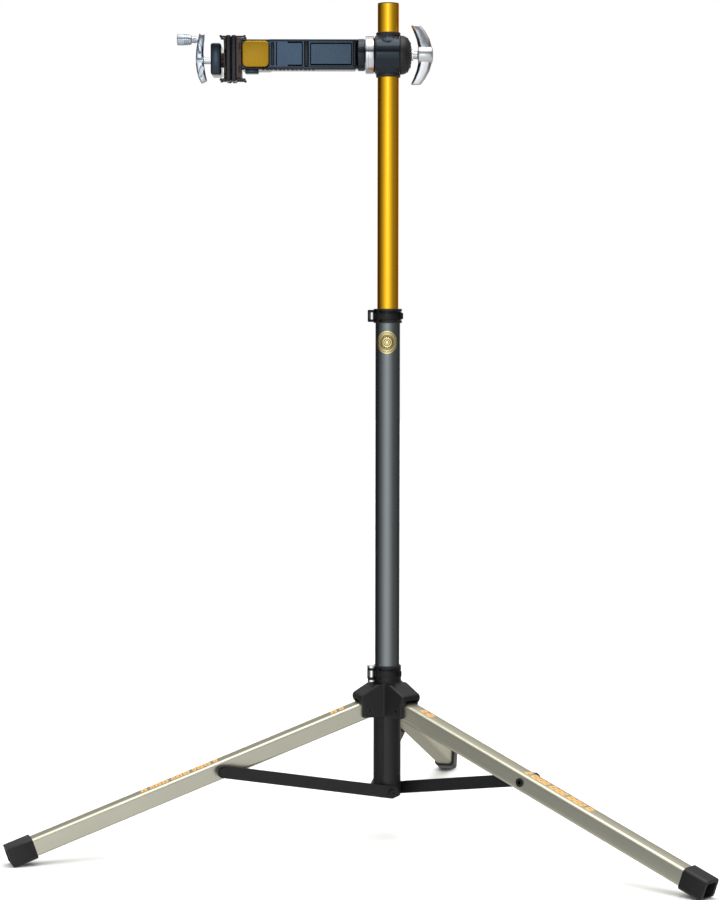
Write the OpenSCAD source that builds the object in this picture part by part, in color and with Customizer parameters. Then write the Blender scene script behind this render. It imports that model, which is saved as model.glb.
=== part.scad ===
// Folding repair stand: a telescoping mast on a three-legged base, with a clamp head that holds a
// bicycle by its seat post. Millimetres, +Z up. The origin is on the mast's axis at floor level,
// and the clamp arm points along -X.

/* [Mast] */
// Outer diameter of the lower mast tube
mast_d = 38; // [36:0.5:40]
// Wall of the lower mast tube
mast_wall = 1.8; // [1.5:0.1:2]
// Height of the lower mast tube's bottom end above the floor
mast_bottom = 88; // [86:1:92]
// Height of the lower mast tube's top end
mast_top = 821; // [780:1:860]
// Outer diameter of the telescoping upper tube
upper_d = 32.5; // [31.8:0.1:33]
// Wall of the upper tube
upper_wall = 1.8; // [1.5:0.1:2.2]
// Height of the upper tube's bottom end, inside the mast
upper_bottom = 430; // [420:5:560]
// Height of the upper tube's top end
upper_top = 1288.5; // [1270:0.5:1310]

/* [Tripod] */
// Compass angle of each leg, counted from +X towards +Y
leg_az = [198.7, 318.7, 78.7];
// Slope of an open leg below the horizontal, in degrees
leg_slope = 19; // [17:0.5:21]
// Side of the square leg tube
leg_w = 28; // [26:0.5:28.5]
// Corner radius of the leg tube
leg_corner = 5; // [4:0.5:6]
// Wall of the leg tube
leg_wall = 2; // [1.5:0.1:2.5]
// Length from a leg's pivot to the end of its foot cap
leg_len = 590; // [560:1:620]
// Distance of a leg's pivot from the mast's axis
pivot_r = 36.5; // [36.2:0.1:38]
// Distance along a leg from its pivot to its brace bolt
brace_bolt_t = 247.6; // [235:0.1:260]
// Height of the braces' inner pivots
brace_z = 76; // [74:0.5:78]
// Offset of a brace's middle plane from the mast's axis
brace_off = 23.5; // [23.5:0.1:25]
// Height of the brace bar
brace_h = 19; // [16:0.5:20]
// Thickness of the brace bar
brace_t = 4; // [3:0.5:4]

/* [Foot caps] */
// Outer side of the square foot cap
cap_w = 34; // [33:0.5:36]
// Length of the foot cap
cap_len = 40; // [36:1:44]
// Radius of the heel that touches the floor
heel_r = 8; // [6:0.5:10]

/* [Clamp head] */
// Height of the axis that the clamp arm turns about
arm_z = 1211.5; // [1190:0.5:1220]
// Radius of the head's barrel
head_r = 29.3; // [28:0.1:31]
// Height of the jaws' middle
jaw_z = 1205.5; // [1200:0.5:1212]
// Height of the clamping screw's axis
screw_z = 1202.5; // [1200:0.5:1208]
// Height of the jaws
jaw_h = 62; // [56:1:66]
// Height of the rubber pads
pad_h = 70; // [64:1:74]
// Thickness of each rubber pad
pad_t = 8; // [7:0.5:9]
// Radius of the groove that each pad is moulded with
groove_r = 15; // [13:0.5:18]

/* [Hidden] */
$fn = 64;
run = 0.06;       // radial clearance of a running fit
gap = 0.4;        // clearance between faces that pass each other
far = 400;

mast_r = mast_d / 2;
mast_bore_r = mast_r - mast_wall;
upper_r = upper_d / 2;

// Guide sleeve and hub
sleeve_r = 21.3;
sleeve_bottom = mast_bottom + gap;
sleeve_top = 232;
flute_r = 1.5;
flute_half_angle = 38;
hub_bottom = 193.5;
hub_roof = 245;
neck_top = 272;
cheek_w = 21.2;          // half the width over a leg's two cheeks
cheek_reach = 46.5;
hood_reach = 51;
slot_w = leg_w / 2 + gap;
leg_end_r = leg_w / 2;   // the leg's inner end is round about its pivot

// Each heel stands on a narrow flat at height 0, and that sets the pivots' height.
heel_land = 0.6;         // depth of round heel that the flat takes away
pivot_z = (leg_len - heel_r) * sin(leg_slope) + (cap_w / 2 - heel_r) * cos(leg_slope) + heel_r - heel_land;
brace_out_r = pivot_r + brace_bolt_t * cos(leg_slope);
brace_out_z = pivot_z - brace_bolt_t * sin(leg_slope);
brace_len = norm([brace_out_r, brace_out_z - brace_z]);
brace_rise = atan2(brace_out_z - brace_z, brace_out_r);

leg_bolt_r = 4;
leg_bush_r = 6;
brace_bolt_r = 3;
brace_boss_r = 5;

// Quick-release collars
collar_z = 813;
neck_qr_z = 260.5;
skewer_r = 2.5;
qr_x = -24.5;
ear_end = -31;
ear_y = [-7.5, 11];        // front and back faces of a collar's ears
qr_nut_r = 5.2;
qr_cheek_r = 6;
lever_in = 22.7;
lever_out = 27;
upper_qr_y = -15.5;
hub_qr_y = -16.5;

// Clamp head, measured from the mast's axis along X and from the arm's axis up
draw_bolt_r = 5;
head_half = 34;          // half the height over the head's two collars
bush_r = 17.2;
body_left = -21.2;
body_seam = 17.5;
spigot_r = 25;
spigot_end = 21.5;
knob_left = 38.6;
knob_hub = [46.5, 66];
flange_x = -35.2;
ring_gap_x = -21.5;
beam_start = -46.7;
beam_end = -182;
beam_top = 22.5;
beam_bottom = -21.5;
pockets = [[-122, -53.5], [-174, -130]];   // where the beam's side pockets run in X
block_end = -224;
button_x = -202.5;
plunger_r = 4;

// Jaws, carrier and crank
plate_in_x = -231.5;
plate_y = 22;            // half the plates' width
pad_meet_x = -239.7;     // the pads' meeting plane
plate_out_x = pad_meet_x - 0.2 - pad_t;
plate_out_t = 3;
feed = 4;                // travel of the outer jaw on its screw
housing_right = plate_out_x - plate_out_t - feed - 0.2;
housing_left = -271;
screw_r = 5.5;
pin_r = 3;
pin_y = 14;
pin_z = 1210;
bar_y = [23, 35];
bar_h = 22;
bar_end = -110;
knob_up = 32;            // from the screw's axis to the crank's knob

// ---------------------------------------------------------------- shared shapes

// Rectangle with round corners
module soft_rect(w, h, r) {
    square([w - 2 * r, h], center = true);
    square([w, h - 2 * r], center = true);
    for (x = [-1, 1], y = [-1, 1])
        translate([x * (w / 2 - r), y * (h / 2 - r)])
            circle(r);
}

// Cylinder along X from x0 to x1
module rod_x(r, x0, x1) {
    translate([x0, 0, 0])
        rotate([0, 90, 0])
            cylinder(r = r, h = x1 - x0);
}

// Cylinder along Y from y0 to y1
module rod_y(r, y0, y1) {
    translate([0, y0, 0])
        rotate([-90, 0, 0])
            cylinder(r = r, h = y1 - y0);
}

// Tube standing on z0
module pipe(r_out, r_in, z0, z1) {
    translate([0, 0, z0])
        difference() {
            cylinder(r = r_out, h = z1 - z0);
            translate([0, 0, -1])
                cylinder(r = r_in, h = z1 - z0 + 2);
        }
}

// Block from one corner to the opposite one
module block(low, high) {
    translate(low)
        cube(high - low);
}

// Profile drawn in the Y-Z plane, pushed along X
module push_x(x0, x1) {
    translate([x0, 0, 0])
        rotate([90, 0, 90])
            linear_extrude(x1 - x0)
                children();
}

// Profile drawn in the X-Z plane, pushed along Y
module push_y(y0, y1) {
    translate([0, y1, 0])
        rotate([90, 0, 0])
            linear_extrude(y1 - y0)
                children();
}

// Ring sector drawn in the X-Y plane
module sector(r_in, r_out, a0, a1) {
    step = (a1 - a0) / 3;
    intersection() {
        difference() {
            circle(r_out);
            circle(r_in);
        }
        polygon(concat([[0, 0]], [for (i = [0:3]) 3 * r_out * [cos(a0 + i * step), sin(a0 + i * step)]]));
    }
}

// Puts a shape in a leg's own frame: +X runs down the leg, +Y is its pivot's axis
module on_leg(i) {
    rotate([0, 0, leg_az[i]])
        translate([pivot_r, 0, pivot_z])
            rotate([0, leg_slope, 0])
                children();
}

// Puts a shape in a brace's own frame: +X runs from the inner pivot to the outer one
module on_brace(i) {
    rotate([0, 0, leg_az[i]])
        translate([0, brace_off, brace_z])
            rotate([0, -brace_rise, 0])
                children();
}

// Puts a shape on the arm's turning axis
module on_arm() {
    translate([0, 0, arm_z])
        children();
}

// ---------------------------------------------------------------- mast

module mast_tube() {
    color("dimgray")
        difference() {
            pipe(mast_r, mast_bore_r, mast_bottom, mast_top);
            // Saw cut that lets the collar squeeze the tube's end
            block([-far, -1, mast_top - 15], [0, 1, mast_top + 1]);
        }
}

module base_plug() {
    bottom = 66.4;
    edge = 4;
    color([0.12, 0.12, 0.13])
        difference() {
            union() {
                translate([0, 0, bottom])
                    rotate_extrude()
                        intersection() {
                            union() {
                                square([sleeve_r - edge, mast_bottom - bottom]);
                                translate([0, edge])
                                    square([sleeve_r, mast_bottom - bottom - edge]);
                                translate([sleeve_r - edge, edge])
                                    circle(edge);
                            }
                            square([sleeve_r, far]);
                        }
                translate([0, 0, mast_bottom - 1])
                    cylinder(r = mast_bore_r, h = 26);
            }
            translate([0, 0, mast_bottom + 2])
                cylinder(r = 12, h = 30);
            for (a = leg_az)
                rotate([0, 0, a])
                    translate([0, 0, brace_z])
                        rod_y(brace_bolt_r, 9, 40);
        }
}

// The three bolts that the braces' inner ends turn on
module base_bolts() {
    head_in = brace_off + brace_t / 2 + 0.2;
    color([0.1, 0.1, 0.1])
        for (a = leg_az)
            rotate([0, 0, a])
                translate([0, 0, brace_z]) {
                    rod_y(brace_bolt_r, 9, head_in + 1);
                    difference() {
                        union() {
                            rod_y(7, head_in, head_in + 1);
                            rod_y(5, head_in + 1, head_in + 4);
                        }
                        rod_y(2, head_in + 2, head_in + 5);
                    }
                }
}

module collar_bush() {
    color([0.15, 0.15, 0.16]) {
        pipe(mast_bore_r, upper_r + run, mast_top - 40, mast_top);
        pipe(mast_r, upper_r + run, mast_top, mast_top + 1.2);
    }
}

// A split band's two ears and the saddle that the lever's cam bears on
module collar_ears(z, h) {
    difference() {
        block([ear_end, ear_y[0], z - h / 2], [-18, ear_y[1], z + h / 2]);
        block([-far, -1.25, z - h], [0, 1.25, z + h]);
    }
}

module upper_collar() {
    z0 = collar_z - 11;
    color([0.1, 0.1, 0.11])
        difference() {
            union() {
                difference() {
                    translate([0, 0, z0])
                        cylinder(r = 22, h = 22);
                    // Waist between the band's two rims
                    translate([0, 0, z0 + 4])
                        difference() {
                            cylinder(r = 30, h = 14);
                            translate([0, 0, -1])
                                cylinder(r = 20.9, h = 16);
                        }
                }
                collar_ears(collar_z, 18);
            }
            translate([0, 0, z0 - 1])
                cylinder(r = mast_r, h = mast_top + 1.2 - z0 + 1);
            translate([0, 0, z0])
                cylinder(r = upper_r + 0.5, h = 40);
            block([-far, -1.25, z0 - 1], [0, 1.25, z0 + 30]);
            translate([qr_x, 0, collar_z])
                rod_y(skewer_r, -30, 30);
        }
}

// Small cross barrel that the cam lever turns on
module qr_barrel(y, z, h, r, rim_r, rim_h) {
    color("silver")
        difference() {
            translate([qr_x, y, z - h / 2]) {
                cylinder(r = r, h = h);
                for (s = [0, h - rim_h])
                    translate([0, 0, s])
                        cylinder(r = rim_r, h = rim_h);
            }
            translate([qr_x, 0, z])
                rod_y(skewer_r, -40, 0);
        }
}

// Rod through the ears, from the barrel to the nut's far side
module qr_skewer(y, z) {
    color("silver")
        translate([qr_x, 0, z])
            rod_y(skewer_r, y - 2, ear_y[1] + 9);
}

module qr_nut(z) {
    color("silver")
        translate([qr_x, 0, z])
            difference() {
                union() {
                    rod_y(qr_nut_r, ear_y[1] + 0.3, ear_y[1] + 5);
                    rod_y(4, ear_y[1] + 4.9, ear_y[1] + 7.5);
                }
                rod_y(skewer_r + run, 0, 40);
                for (a = [0:30:359])
                    rotate([0, a, 0])
                        translate([qr_nut_r + 0.5, 0, 0])
                            rod_y(1, 0, 40);
            }
}

// Cam lever: a fork round the barrel and a blade that lies round the front of the band
module qr_lever(y, z, barrel_r, fork_h, blade_h, reach) {
    cheek = (fork_h - blade_h) / 2;
    color([0.08, 0.08, 0.09])
        difference() {
            union() {
                translate([0, 0, z - fork_h / 2])
                    linear_extrude(cheek) {
                        translate([qr_x, y])
                            circle(qr_cheek_r);
                        sector(lever_in, lever_out, 216, 240);
                    }
                translate([0, 0, z + blade_h / 2])
                    linear_extrude(cheek) {
                        translate([qr_x, y])
                            circle(qr_cheek_r);
                        sector(lever_in, lever_out, 216, 240);
                    }
                translate([0, 0, z - blade_h / 2])
                    linear_extrude(blade_h)
                        sector(lever_in, lever_out, 224, reach);
                // Finger rest at the blade's end
                translate([0, 0, z - blade_h / 2 + 1])
                    linear_extrude(blade_h - 2)
                        sector(lever_out - 1, lever_out + 2, reach - 16, reach - 2);
            }
            translate([qr_x, y, z - fork_h])
                cylinder(r = barrel_r + run, h = 2 * fork_h);
            // Room inside the fork for the barrel and its rod
            translate([qr_x, y, z - blade_h / 2])
                cylinder(r = barrel_r + 0.6, h = blade_h);
        }
}

module upper_qr_barrel() { qr_barrel(upper_qr_y, collar_z, 17.6, 3.6, 3.6, 1); }
module upper_qr_skewer() { qr_skewer(upper_qr_y, collar_z); }
module upper_qr_nut() { qr_nut(collar_z); }
module upper_qr_lever() { qr_lever(upper_qr_y, collar_z, 3.6, 18.6, 10.6, 326); }

// ---------------------------------------------------------------- telescoping tube and head

module glide_bush() {
    color([0.85, 0.85, 0.82]) {
        pipe(mast_bore_r - run, upper_r - upper_wall + 0.5, upper_bottom - 4.3, upper_bottom - 0.3);
        difference() {
            pipe(mast_bore_r - run, upper_r + run, upper_bottom - 0.3, upper_bottom + 34);
            block([-far, -1.5, upper_bottom + 5], [0, 1.5, upper_bottom + 40]);
        }
    }
}

module upper_tube() {
    color("goldenrod")
        difference() {
            pipe(upper_r, upper_r - upper_wall, upper_bottom, upper_top);
            on_arm()
                rod_x(draw_bolt_r + 0.5, -30, 30);
        }
}

module tube_cap() {
    color([0.2, 0.13, 0.05]) {
        translate([0, 0, upper_top])
            cylinder(r = upper_r - 0.3, h = 1.5);
        pipe(upper_r - upper_wall, upper_r - upper_wall - 2, upper_top - 12, upper_top);
    }
}

// Two flanged plastic bushes, one pushed in from each end of the head
module head_bushes() {
    color([0.07, 0.07, 0.08])
        on_arm()
            for (s = [0, 180])
                rotate([s, 0, 0]) {
                    pipe(bush_r, upper_r + 0.02, 8, head_half - 5);
                    difference() {
                        pipe(18.7, upper_r + 0.02, head_half - 5, head_half);
                        // Flat that clears the dome cap
                        translate([body_seam, -20, head_half - 6])
                            cube([10, 40, 2]);
                    }
                }
}

module head_body() {
    color([0.09, 0.09, 0.1])
        on_arm()
            difference() {
                union() {
                    rod_x(head_r, body_left + 1.5, body_seam);
                    rod_x(head_r - 1.5, body_left, body_seam);
                    rod_x(spigot_r, 0, spigot_end);
                    // Flared neck above and below the barrel
                    for (s = [0, 180])
                        rotate([s, 0, 0])
                            intersection() {
                                translate([0, 0, head_half - 5 - 12])
                                    cylinder(r1 = 26, r2 = 18.4, h = 12);
                                block([body_left, -far, 0], [body_seam, far, far]);
                            }
                }
                translate([0, 0, -50])
                    cylinder(r = bush_r, h = 100);
                rod_x(draw_bolt_r + run, -60, 60);
            }
}

// Domed friction cap on the knob's side
module dome_cap() {
    bulge = 18.6;
    color([0.08, 0.08, 0.09])
        on_arm()
            rotate([0, 90, 0])
                rotate_extrude()
                    difference() {
                        intersection() {
                            translate([0, body_seam + 0.1])
                                union() {
                                    square([head_r + 0.4, 3]);
                                    translate([0, 3])
                                        dome_section(head_r + 0.4, bulge - 3);
                                }
                            square([far, far]);
                        }
                        square([draw_bolt_r + 0.3, far]);
                        square([spigot_r + 0.1, spigot_end + 0.2]);
                    }
}

// Half of a dome's section: radius r at its foot and height h
module dome_section(r, h) {
    big = (r * r + h * h) / (2 * h);
    intersection() {
        translate([0, h - big])
            circle(big, $fn = 96);
        square([r, h]);
    }
}

module thrust_washer() {
    color("silver")
        on_arm()
            difference() {
                rod_x(9, body_seam + 18.8, body_seam + 20.6);
                rod_x(draw_bolt_r + 0.3, 0, 90);
            }
}

// Two-winged knob that squeezes the head together
module wing_knob() {
    tip = 47;
    big = 62;
    color("gainsboro")
        on_arm()
            difference() {
                union() {
                    rod_x(6, knob_left, knob_hub[0] + 1);
                    rod_x(13.5, knob_hub[0], knob_hub[1]);
                    rod_x(10, knob_hub[1], knob_hub[1] + 3.5);
                    // Bowed wings: what lies between two arcs, squared off at the tips
                    push_y(-8.5, 8.5)
                        intersection() {
                            difference() {
                                translate([knob_hub[1] + 2 - big, 0])
                                    circle(big, $fn = 96);
                                translate([knob_hub[0] + 1 - 78, 0])
                                    circle(78, $fn = 96);
                            }
                            translate([34, -tip])
                                square([40, 2 * tip]);
                        }
                }
                rod_x(draw_bolt_r + run, knob_left - 1, 62);
            }
}

// ---------------------------------------------------------------- clamp arm

module clamp_arm() {
    color([0.07, 0.07, 0.08])
        on_arm()
            difference() {
                union() {
                    rod_x(11.5, flange_x, ring_gap_x - 1);
                    rod_x(24.5, beam_start, flange_x);
                    difference() {
                        push_x(beam_end - 1, beam_start + 1)
                            translate([0, (beam_top + beam_bottom) / 2])
                                soft_rect(27, beam_top - beam_bottom, 3);
                        for (flip = [0, 1], p = pockets)
                            mirror([0, flip, 0])
                                pocket(p);
                    }
                    // Lips that widen the beam's top and bottom edges
                    block([beam_end, -15, beam_top - 3], [beam_start, 15, beam_top]);
                    block([beam_end, -16.5, beam_bottom - 2], [beam_start - 4, 16.5, beam_bottom + 2]);
                    end_block();
                }
                rod_x(draw_bolt_r, -62, 0);
                // Guide channel for the slide bar
                block([-far, bar_y[0] - 0.3, jaw_z - arm_z - bar_h / 2 - 0.3],
                      [0, bar_y[1] + 0.3, jaw_z - arm_z + bar_h / 2 + 0.3]);
                // Button seat, spring seat and plunger bore
                translate([button_x, 0, 0]) {
                    push_y(-30, -5)
                        soft_rect(43, 41, 8.5);
                    translate([0, 0, jaw_z - arm_z]) {
                        rod_y(8, -6, 3);
                        rod_y(plunger_r + run, -6, far);
                    }
                }
            }
}

module pocket(p) {
    difference() {
        push_y(-30, -8)
            translate([(p[0] + p[1]) / 2, 0.5])
                soft_rect(p[1] - p[0], 36, 2);
        push_y(-11.6, 0)
            translate([(p[0] + p[1]) / 2, 0.5])
                soft_rect(p[1] - p[0] - 7, 30, 1);
    }
}

module end_block() {
    push_y(-12, 38.5)
        translate([(block_end + beam_end) / 2 + 1, 0])
            soft_rect(beam_end - block_end + 2, 46, 3);
    // Shoe under the block
    block([-219, -9, -29], [-198, 9, -22]);
}

module brake_ring() {
    color("whitesmoke")
        on_arm()
            difference() {
                rod_x(28.7, flange_x, ring_gap_x);
                rod_x(11.5, -60, 0);
            }
}

module draw_bolt() {
    color("silver")
        on_arm()
            rod_x(draw_bolt_r, -61, 60);
}

module inner_jaw_plate() {
    color([0.2, 0.16, 0.14])
        difference() {
            push_x(plate_in_x, block_end)
                translate([0, jaw_z])
                    soft_rect(2 * plate_y, jaw_h, 3);
            // Window slots
            for (s = [-1, 1])
                block([plate_in_x + 4, -far, jaw_z + s * 19 - 5], [block_end + 1, -12, jaw_z + s * 19 + 5]);
        }
}

// A pad with its back on x = 0, facing +X, and a round groove down its face
module jaw_pad() {
    depth = 5;
    color([0.13, 0.13, 0.14])
        difference() {
            push_x(0, pad_t)
                translate([0, jaw_z - 0.5])
                    soft_rect(2 * plate_y - 2, pad_h, 2);
            translate([pad_t - depth + groove_r, 0, 0])
                cylinder(r = groove_r, h = 2 * arm_z);
        }
}

module inner_jaw_pad() {
    translate([plate_in_x, 0, 0])
        mirror([1, 0, 0])
            jaw_pad();
}

module outer_jaw_pad() {
    translate([plate_out_x, 0, 0])
        jaw_pad();
}

// Hooks that reach from a pad's corners round its plate, whose back is on x = 0 and faces +X
module pad_clips(plate_t, reach) {
    color([0.06, 0.06, 0.07])
        for (z = [0, 1], y = [-1, 1])
            translate([0, y * 15, jaw_z])
                mirror([0, 0, z])
                    translate([0, 0, jaw_h / 2]) {
                        block([-plate_t, -3, 0], [reach, 3, 2.5]);
                        block([0, -3, -2.5], [reach, 3, 1]);
                    }
}

module inner_pad_clips() {
    translate([block_end, 0, 0])
        difference() {
            pad_clips(block_end - plate_in_x, 7);
            // Clear of the end block's top
            block([-1, -far, arm_z - 23.2], [far, far, arm_z + 23.2]);
        }
}

module outer_pad_clips() {
    translate([plate_out_x - plate_out_t, 0, 0])
        mirror([1, 0, 0])
            pad_clips(plate_out_t, 6);
}

module release_button() {
    color("gold")
        translate([button_x, 0, arm_z]) {
            push_y(-19, -13)
                soft_rect(42, 40, 8);
            push_y(-13.1, -9.4)
                soft_rect(38, 36, 6);
            translate([0, 0, jaw_z - arm_z])
                rod_y(plunger_r, -12, bar_y[0] - gap);
        }
}

// Outline of the return spring, drawn at its pressed length
module button_spring() {
    color("silver")
        translate([button_x, 0, jaw_z])
            difference() {
                rod_y(6.8, -5, 3);
                rod_y(5.2, -12, 6);
            }
}

module slide_bar() {
    color([0.6, 0.6, 0.62])
        difference() {
            block([housing_left + 3, bar_y[0], jaw_z - bar_h / 2], [bar_end, bar_y[1], jaw_z + bar_h / 2]);
            // Groove that the button's plunger drops into when it is pressed
            block([-252, bar_y[0] - 1, jaw_z - 4.6], [bar_end - 8, bar_y[0] + 5, jaw_z + 4.6]);
        }
}

module bar_stop() {
    color([0.1, 0.1, 0.1])
        block([bar_end, bar_y[0] - 4, jaw_z - bar_h / 2 - 4],
              [bar_end + 5, bar_y[1] + 3, jaw_z + bar_h / 2 + 4]);
}

module outer_housing() {
    color([0.07, 0.07, 0.08])
        difference() {
            push_x(housing_left, housing_right)
                translate([9, jaw_z - 1.5])
                    soft_rect(58, 48, 4);
            block([housing_left + 3, bar_y[0], jaw_z - bar_h / 2], [0, bar_y[1], jaw_z + bar_h / 2]);
            translate([0, 0, screw_z])
                rod_x(8.5, housing_left - 1, housing_right + 1);
            for (y = [-1, 1])
                translate([0, y * pin_y, pin_z])
                    rod_x(pin_r + run, housing_left + 2, housing_right + 1);
        }
}

module feed_nut() {
    color("darkgoldenrod")
        translate([0, 0, screw_z])
            difference() {
                rod_x(8.5, housing_left, housing_right - 5.5);
                rod_x(screw_r + run, -far, 0);
            }
}

// Plate, centre boss and two guide pins of the moving jaw
module outer_jaw_plate() {
    back = plate_out_x - plate_out_t;
    color([0.2, 0.15, 0.12])
        difference() {
            union() {
                push_x(back, plate_out_x)
                    translate([0, jaw_z])
                        soft_rect(2 * plate_y, jaw_h, 3);
                translate([0, 0, screw_z])
                    rod_x(8, back - 5, back + 1);
                for (y = [-1, 1])
                    translate([0, y * pin_y, pin_z])
                        rod_x(pin_r, back - 12, back + 1);
            }
            translate([0, 0, screw_z])
                rod_x(3 + run, -far, plate_out_x - 1);
        }
}

module feed_screw() {
    back = plate_out_x - plate_out_t;
    color("silver")
        translate([0, 0, screw_z]) {
            rod_x(screw_r, -291, back - 5.4);
            rod_x(3, back - 6, plate_out_x - 1.4);
        }
}

// Bowed crank: long end up to its knob, short tail down
module crank_arm() {
    top = 41;
    tail = -33;
    bow = 116;
    left = -294.5;
    color("gainsboro")
        translate([0, 0, screw_z])
            difference() {
                union() {
                    push_y(-8, 8)
                        intersection() {
                            difference() {
                                translate([left + bow, 2])
                                    circle(bow, $fn = 96);
                                translate([left + 10 + bow * 0.93, 2])
                                    circle(bow * 0.93, $fn = 96);
                            }
                            translate([left - 1, tail])
                                square([30, top - tail]);
                        }
                    rod_x(9, left + 1.5, -282);
                }
                rod_x(screw_r, -291, 0);
                translate([0, 0, knob_up])
                    rod_x(3 + run, -far, 0);
            }
}

// Handle knob and the pin that it spins on
module crank_knob() {
    color("gainsboro")
        translate([0, 0, screw_z + knob_up]) {
            difference() {
                union() {
                    rod_x(8.5, -323, -304);
                    rod_x(7.6, -304.1, -300);
                    rod_x(4.8, -300.1, -292.1);
                }
                for (a = [0:30:359])
                    rotate([a, 0, 0])
                        translate([0, 9.2, 0])
                            rod_x(1.2, -316, -303);
            }
            rod_x(3, -292.2, -284);
        }
}

// ---------------------------------------------------------------- hub

module hub_arm_profile() {
    r = 5;
    polygon([[0, hub_bottom], [cheek_reach - r, hub_bottom], [cheek_reach, hub_bottom + r],
             [cheek_reach, 214], [hood_reach, 220.5], [hood_reach, 227], [hood_reach - 2.5, 230.5],
             [24, hub_roof], [0, hub_roof]]);
    translate([cheek_reach - r, hub_bottom + r])
        circle(r);
}

module hub_casting() {
    color([0.1, 0.1, 0.11])
        difference() {
            union() {
                for (a = leg_az)
                    rotate([0, 0, a])
                        push_y(-cheek_w, cheek_w)
                            hub_arm_profile();
                // Clamping neck with a waist
                difference() {
                    translate([0, 0, hub_roof - 1])
                        cylinder(r = 21.7, h = neck_top - hub_roof + 1);
                    pipe(30, 20.6, neck_qr_z - 1, neck_qr_z + 1.5);
                }
                collar_ears(neck_qr_z, 20);
            }
            // Bores for the guide sleeve and for the mast above it
            translate([0, 0, hub_bottom - 1])
                cylinder(r = sleeve_r, h = sleeve_top - hub_bottom + 1);
            translate([0, 0, hub_bottom])
                cylinder(r = mast_r + run + 0.04, h = 100);
            block([-far, -1.25, hub_roof + 1], [0, 1.25, neck_top + 1]);
            translate([qr_x, 0, neck_qr_z])
                rod_y(skewer_r, -30, 30);
            for (a = leg_az)
                rotate([0, 0, a]) {
                    // Slot that the leg's end turns in
                    block([14, -slot_w, hub_bottom - 1], [hood_reach + 1, slot_w, pivot_z]);
                    block([14, -slot_w, pivot_z - 1], [pivot_r - 12, slot_w, pivot_z + 6]);
                    block([pivot_r, -slot_w, pivot_z - 1], [hood_reach + 1, slot_w, 221.3]);
                    translate([pivot_r, 0, pivot_z]) {
                        rod_y(leg_end_r + 0.6, -slot_w, slot_w);
                        rod_y(leg_bolt_r, -30, 30);
                        // Seats for the bolt's head and for its nut
                        rod_y(6.5, -cheek_w - 1, -cheek_w + 2.2);
                        rod_y(6.5, cheek_w - 2.2, cheek_w + 1);
                    }
                }
        }
}

module guide_sleeve() {
    color([0.13, 0.13, 0.14])
        difference() {
            pipe(sleeve_r, mast_r + run + 0.02, sleeve_bottom, sleeve_top);
            for (a = leg_az, s = [-1, 1])
                rotate([0, 0, a + 90 + s * flute_half_angle])
                    translate([sleeve_r + 0.2, 0, sleeve_bottom + 12])
                        cylinder(r = flute_r, h = far);
        }
}

module hub_qr_barrel() { qr_barrel(hub_qr_y, neck_qr_z, 25, 4.2, 6, 3.6); }
module hub_qr_skewer() { qr_skewer(hub_qr_y, neck_qr_z); }
module hub_qr_nut() { qr_nut(neck_qr_z); }
module hub_qr_lever() { qr_lever(hub_qr_y, neck_qr_z, 4.2, 17, 10.6, 322); }

module leg_pivot_bolts() {
    color([0.08, 0.08, 0.08])
        for (a = leg_az)
            rotate([0, 0, a])
                translate([pivot_r, 0, pivot_z])
                    difference() {
                        union() {
                            rod_y(leg_bolt_r, -cheek_w + 2.2, cheek_w - 2.1);
                            rod_y(6.2, cheek_w - 2.2, cheek_w + 0.2);
                        }
                        rod_y(2.6, cheek_w - 1.2, cheek_w + 1);
                    }
}

module leg_pivot_nuts() {
    color([0.3, 0.3, 0.3])
        for (a = leg_az)
            rotate([0, 0, a])
                translate([pivot_r, 0, pivot_z])
                    difference() {
                        rod_y(6.2, -cheek_w - 0.2, -cheek_w + 2.2);
                        translate([0, -cheek_w - 1, 0])
                            rotate([-90, 0, 0])
                                cylinder(r = 3, h = 2.4, $fn = 6);
                    }
}

// ---------------------------------------------------------------- legs

module leg_tube(i) {
    tube_end = leg_len - 16;
    color([0.72, 0.71, 0.64])
        on_leg(i)
            difference() {
                intersection() {
                    push_x(-leg_end_r, tube_end)
                        soft_rect(leg_w, leg_w, leg_corner);
                    union() {
                        rod_y(leg_end_r, -leg_w, leg_w);
                        block([0, -leg_w, -leg_w], [tube_end, leg_w, leg_w]);
                    }
                }
                push_x(-leg_end_r - 1, tube_end + 1)
                    soft_rect(leg_w - 2 * leg_wall, leg_w - 2 * leg_wall, leg_corner - leg_wall);
                rod_y(leg_bush_r, -leg_w, leg_w);
                translate([brace_bolt_t, 0, 0])
                    rod_y(brace_boss_r, -leg_w, leg_w);
            }
}

module foot_cap(i) {
    start = leg_len - cap_len;
    half = cap_w / 2;
    color([0.07, 0.07, 0.08])
        difference() {
            on_leg(i)
                difference() {
                    intersection() {
                        push_x(start, leg_len)
                            soft_rect(cap_w, cap_w, leg_corner + 2);
                        // Side view with the rounded heel
                        push_y(-half, half) {
                            translate([start, -half])
                                square([cap_len - heel_r, cap_w]);
                            translate([start, heel_r - half])
                                square([cap_len, cap_w - heel_r]);
                            translate([leg_len - heel_r, heel_r - half])
                                circle(heel_r);
                        }
                    }
                    push_x(start - 1, leg_len - 16)
                        soft_rect(leg_w, leg_w, leg_corner);
                    // Hollow end
                    push_x(leg_len - 11, leg_len + 1)
                        soft_rect(leg_w - 5, leg_w - 5, 4);
                }
            // The floor's flat
            block([-2 * far, -2 * far, -10], [2 * far, 2 * far, 0]);
        }
}

// Pivot bush and the flanged sleeve that the brace is bolted to
module leg_bushes(i) {
    half = leg_w / 2;
    color([0.25, 0.25, 0.26])
        on_leg(i) {
            difference() {
                rod_y(leg_bush_r, -half - 0.2, half + 0.2);
                rod_y(leg_bolt_r + run, -far, far);
            }
            translate([brace_bolt_t, 0, 0])
                difference() {
                    union() {
                        rod_y(brace_boss_r, -half, half);
                        rod_y(6.5, -half - 1.6, -half);
                    }
                    rod_y(brace_bolt_r, -half - 5, half + 5);
                }
        }
}

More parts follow.
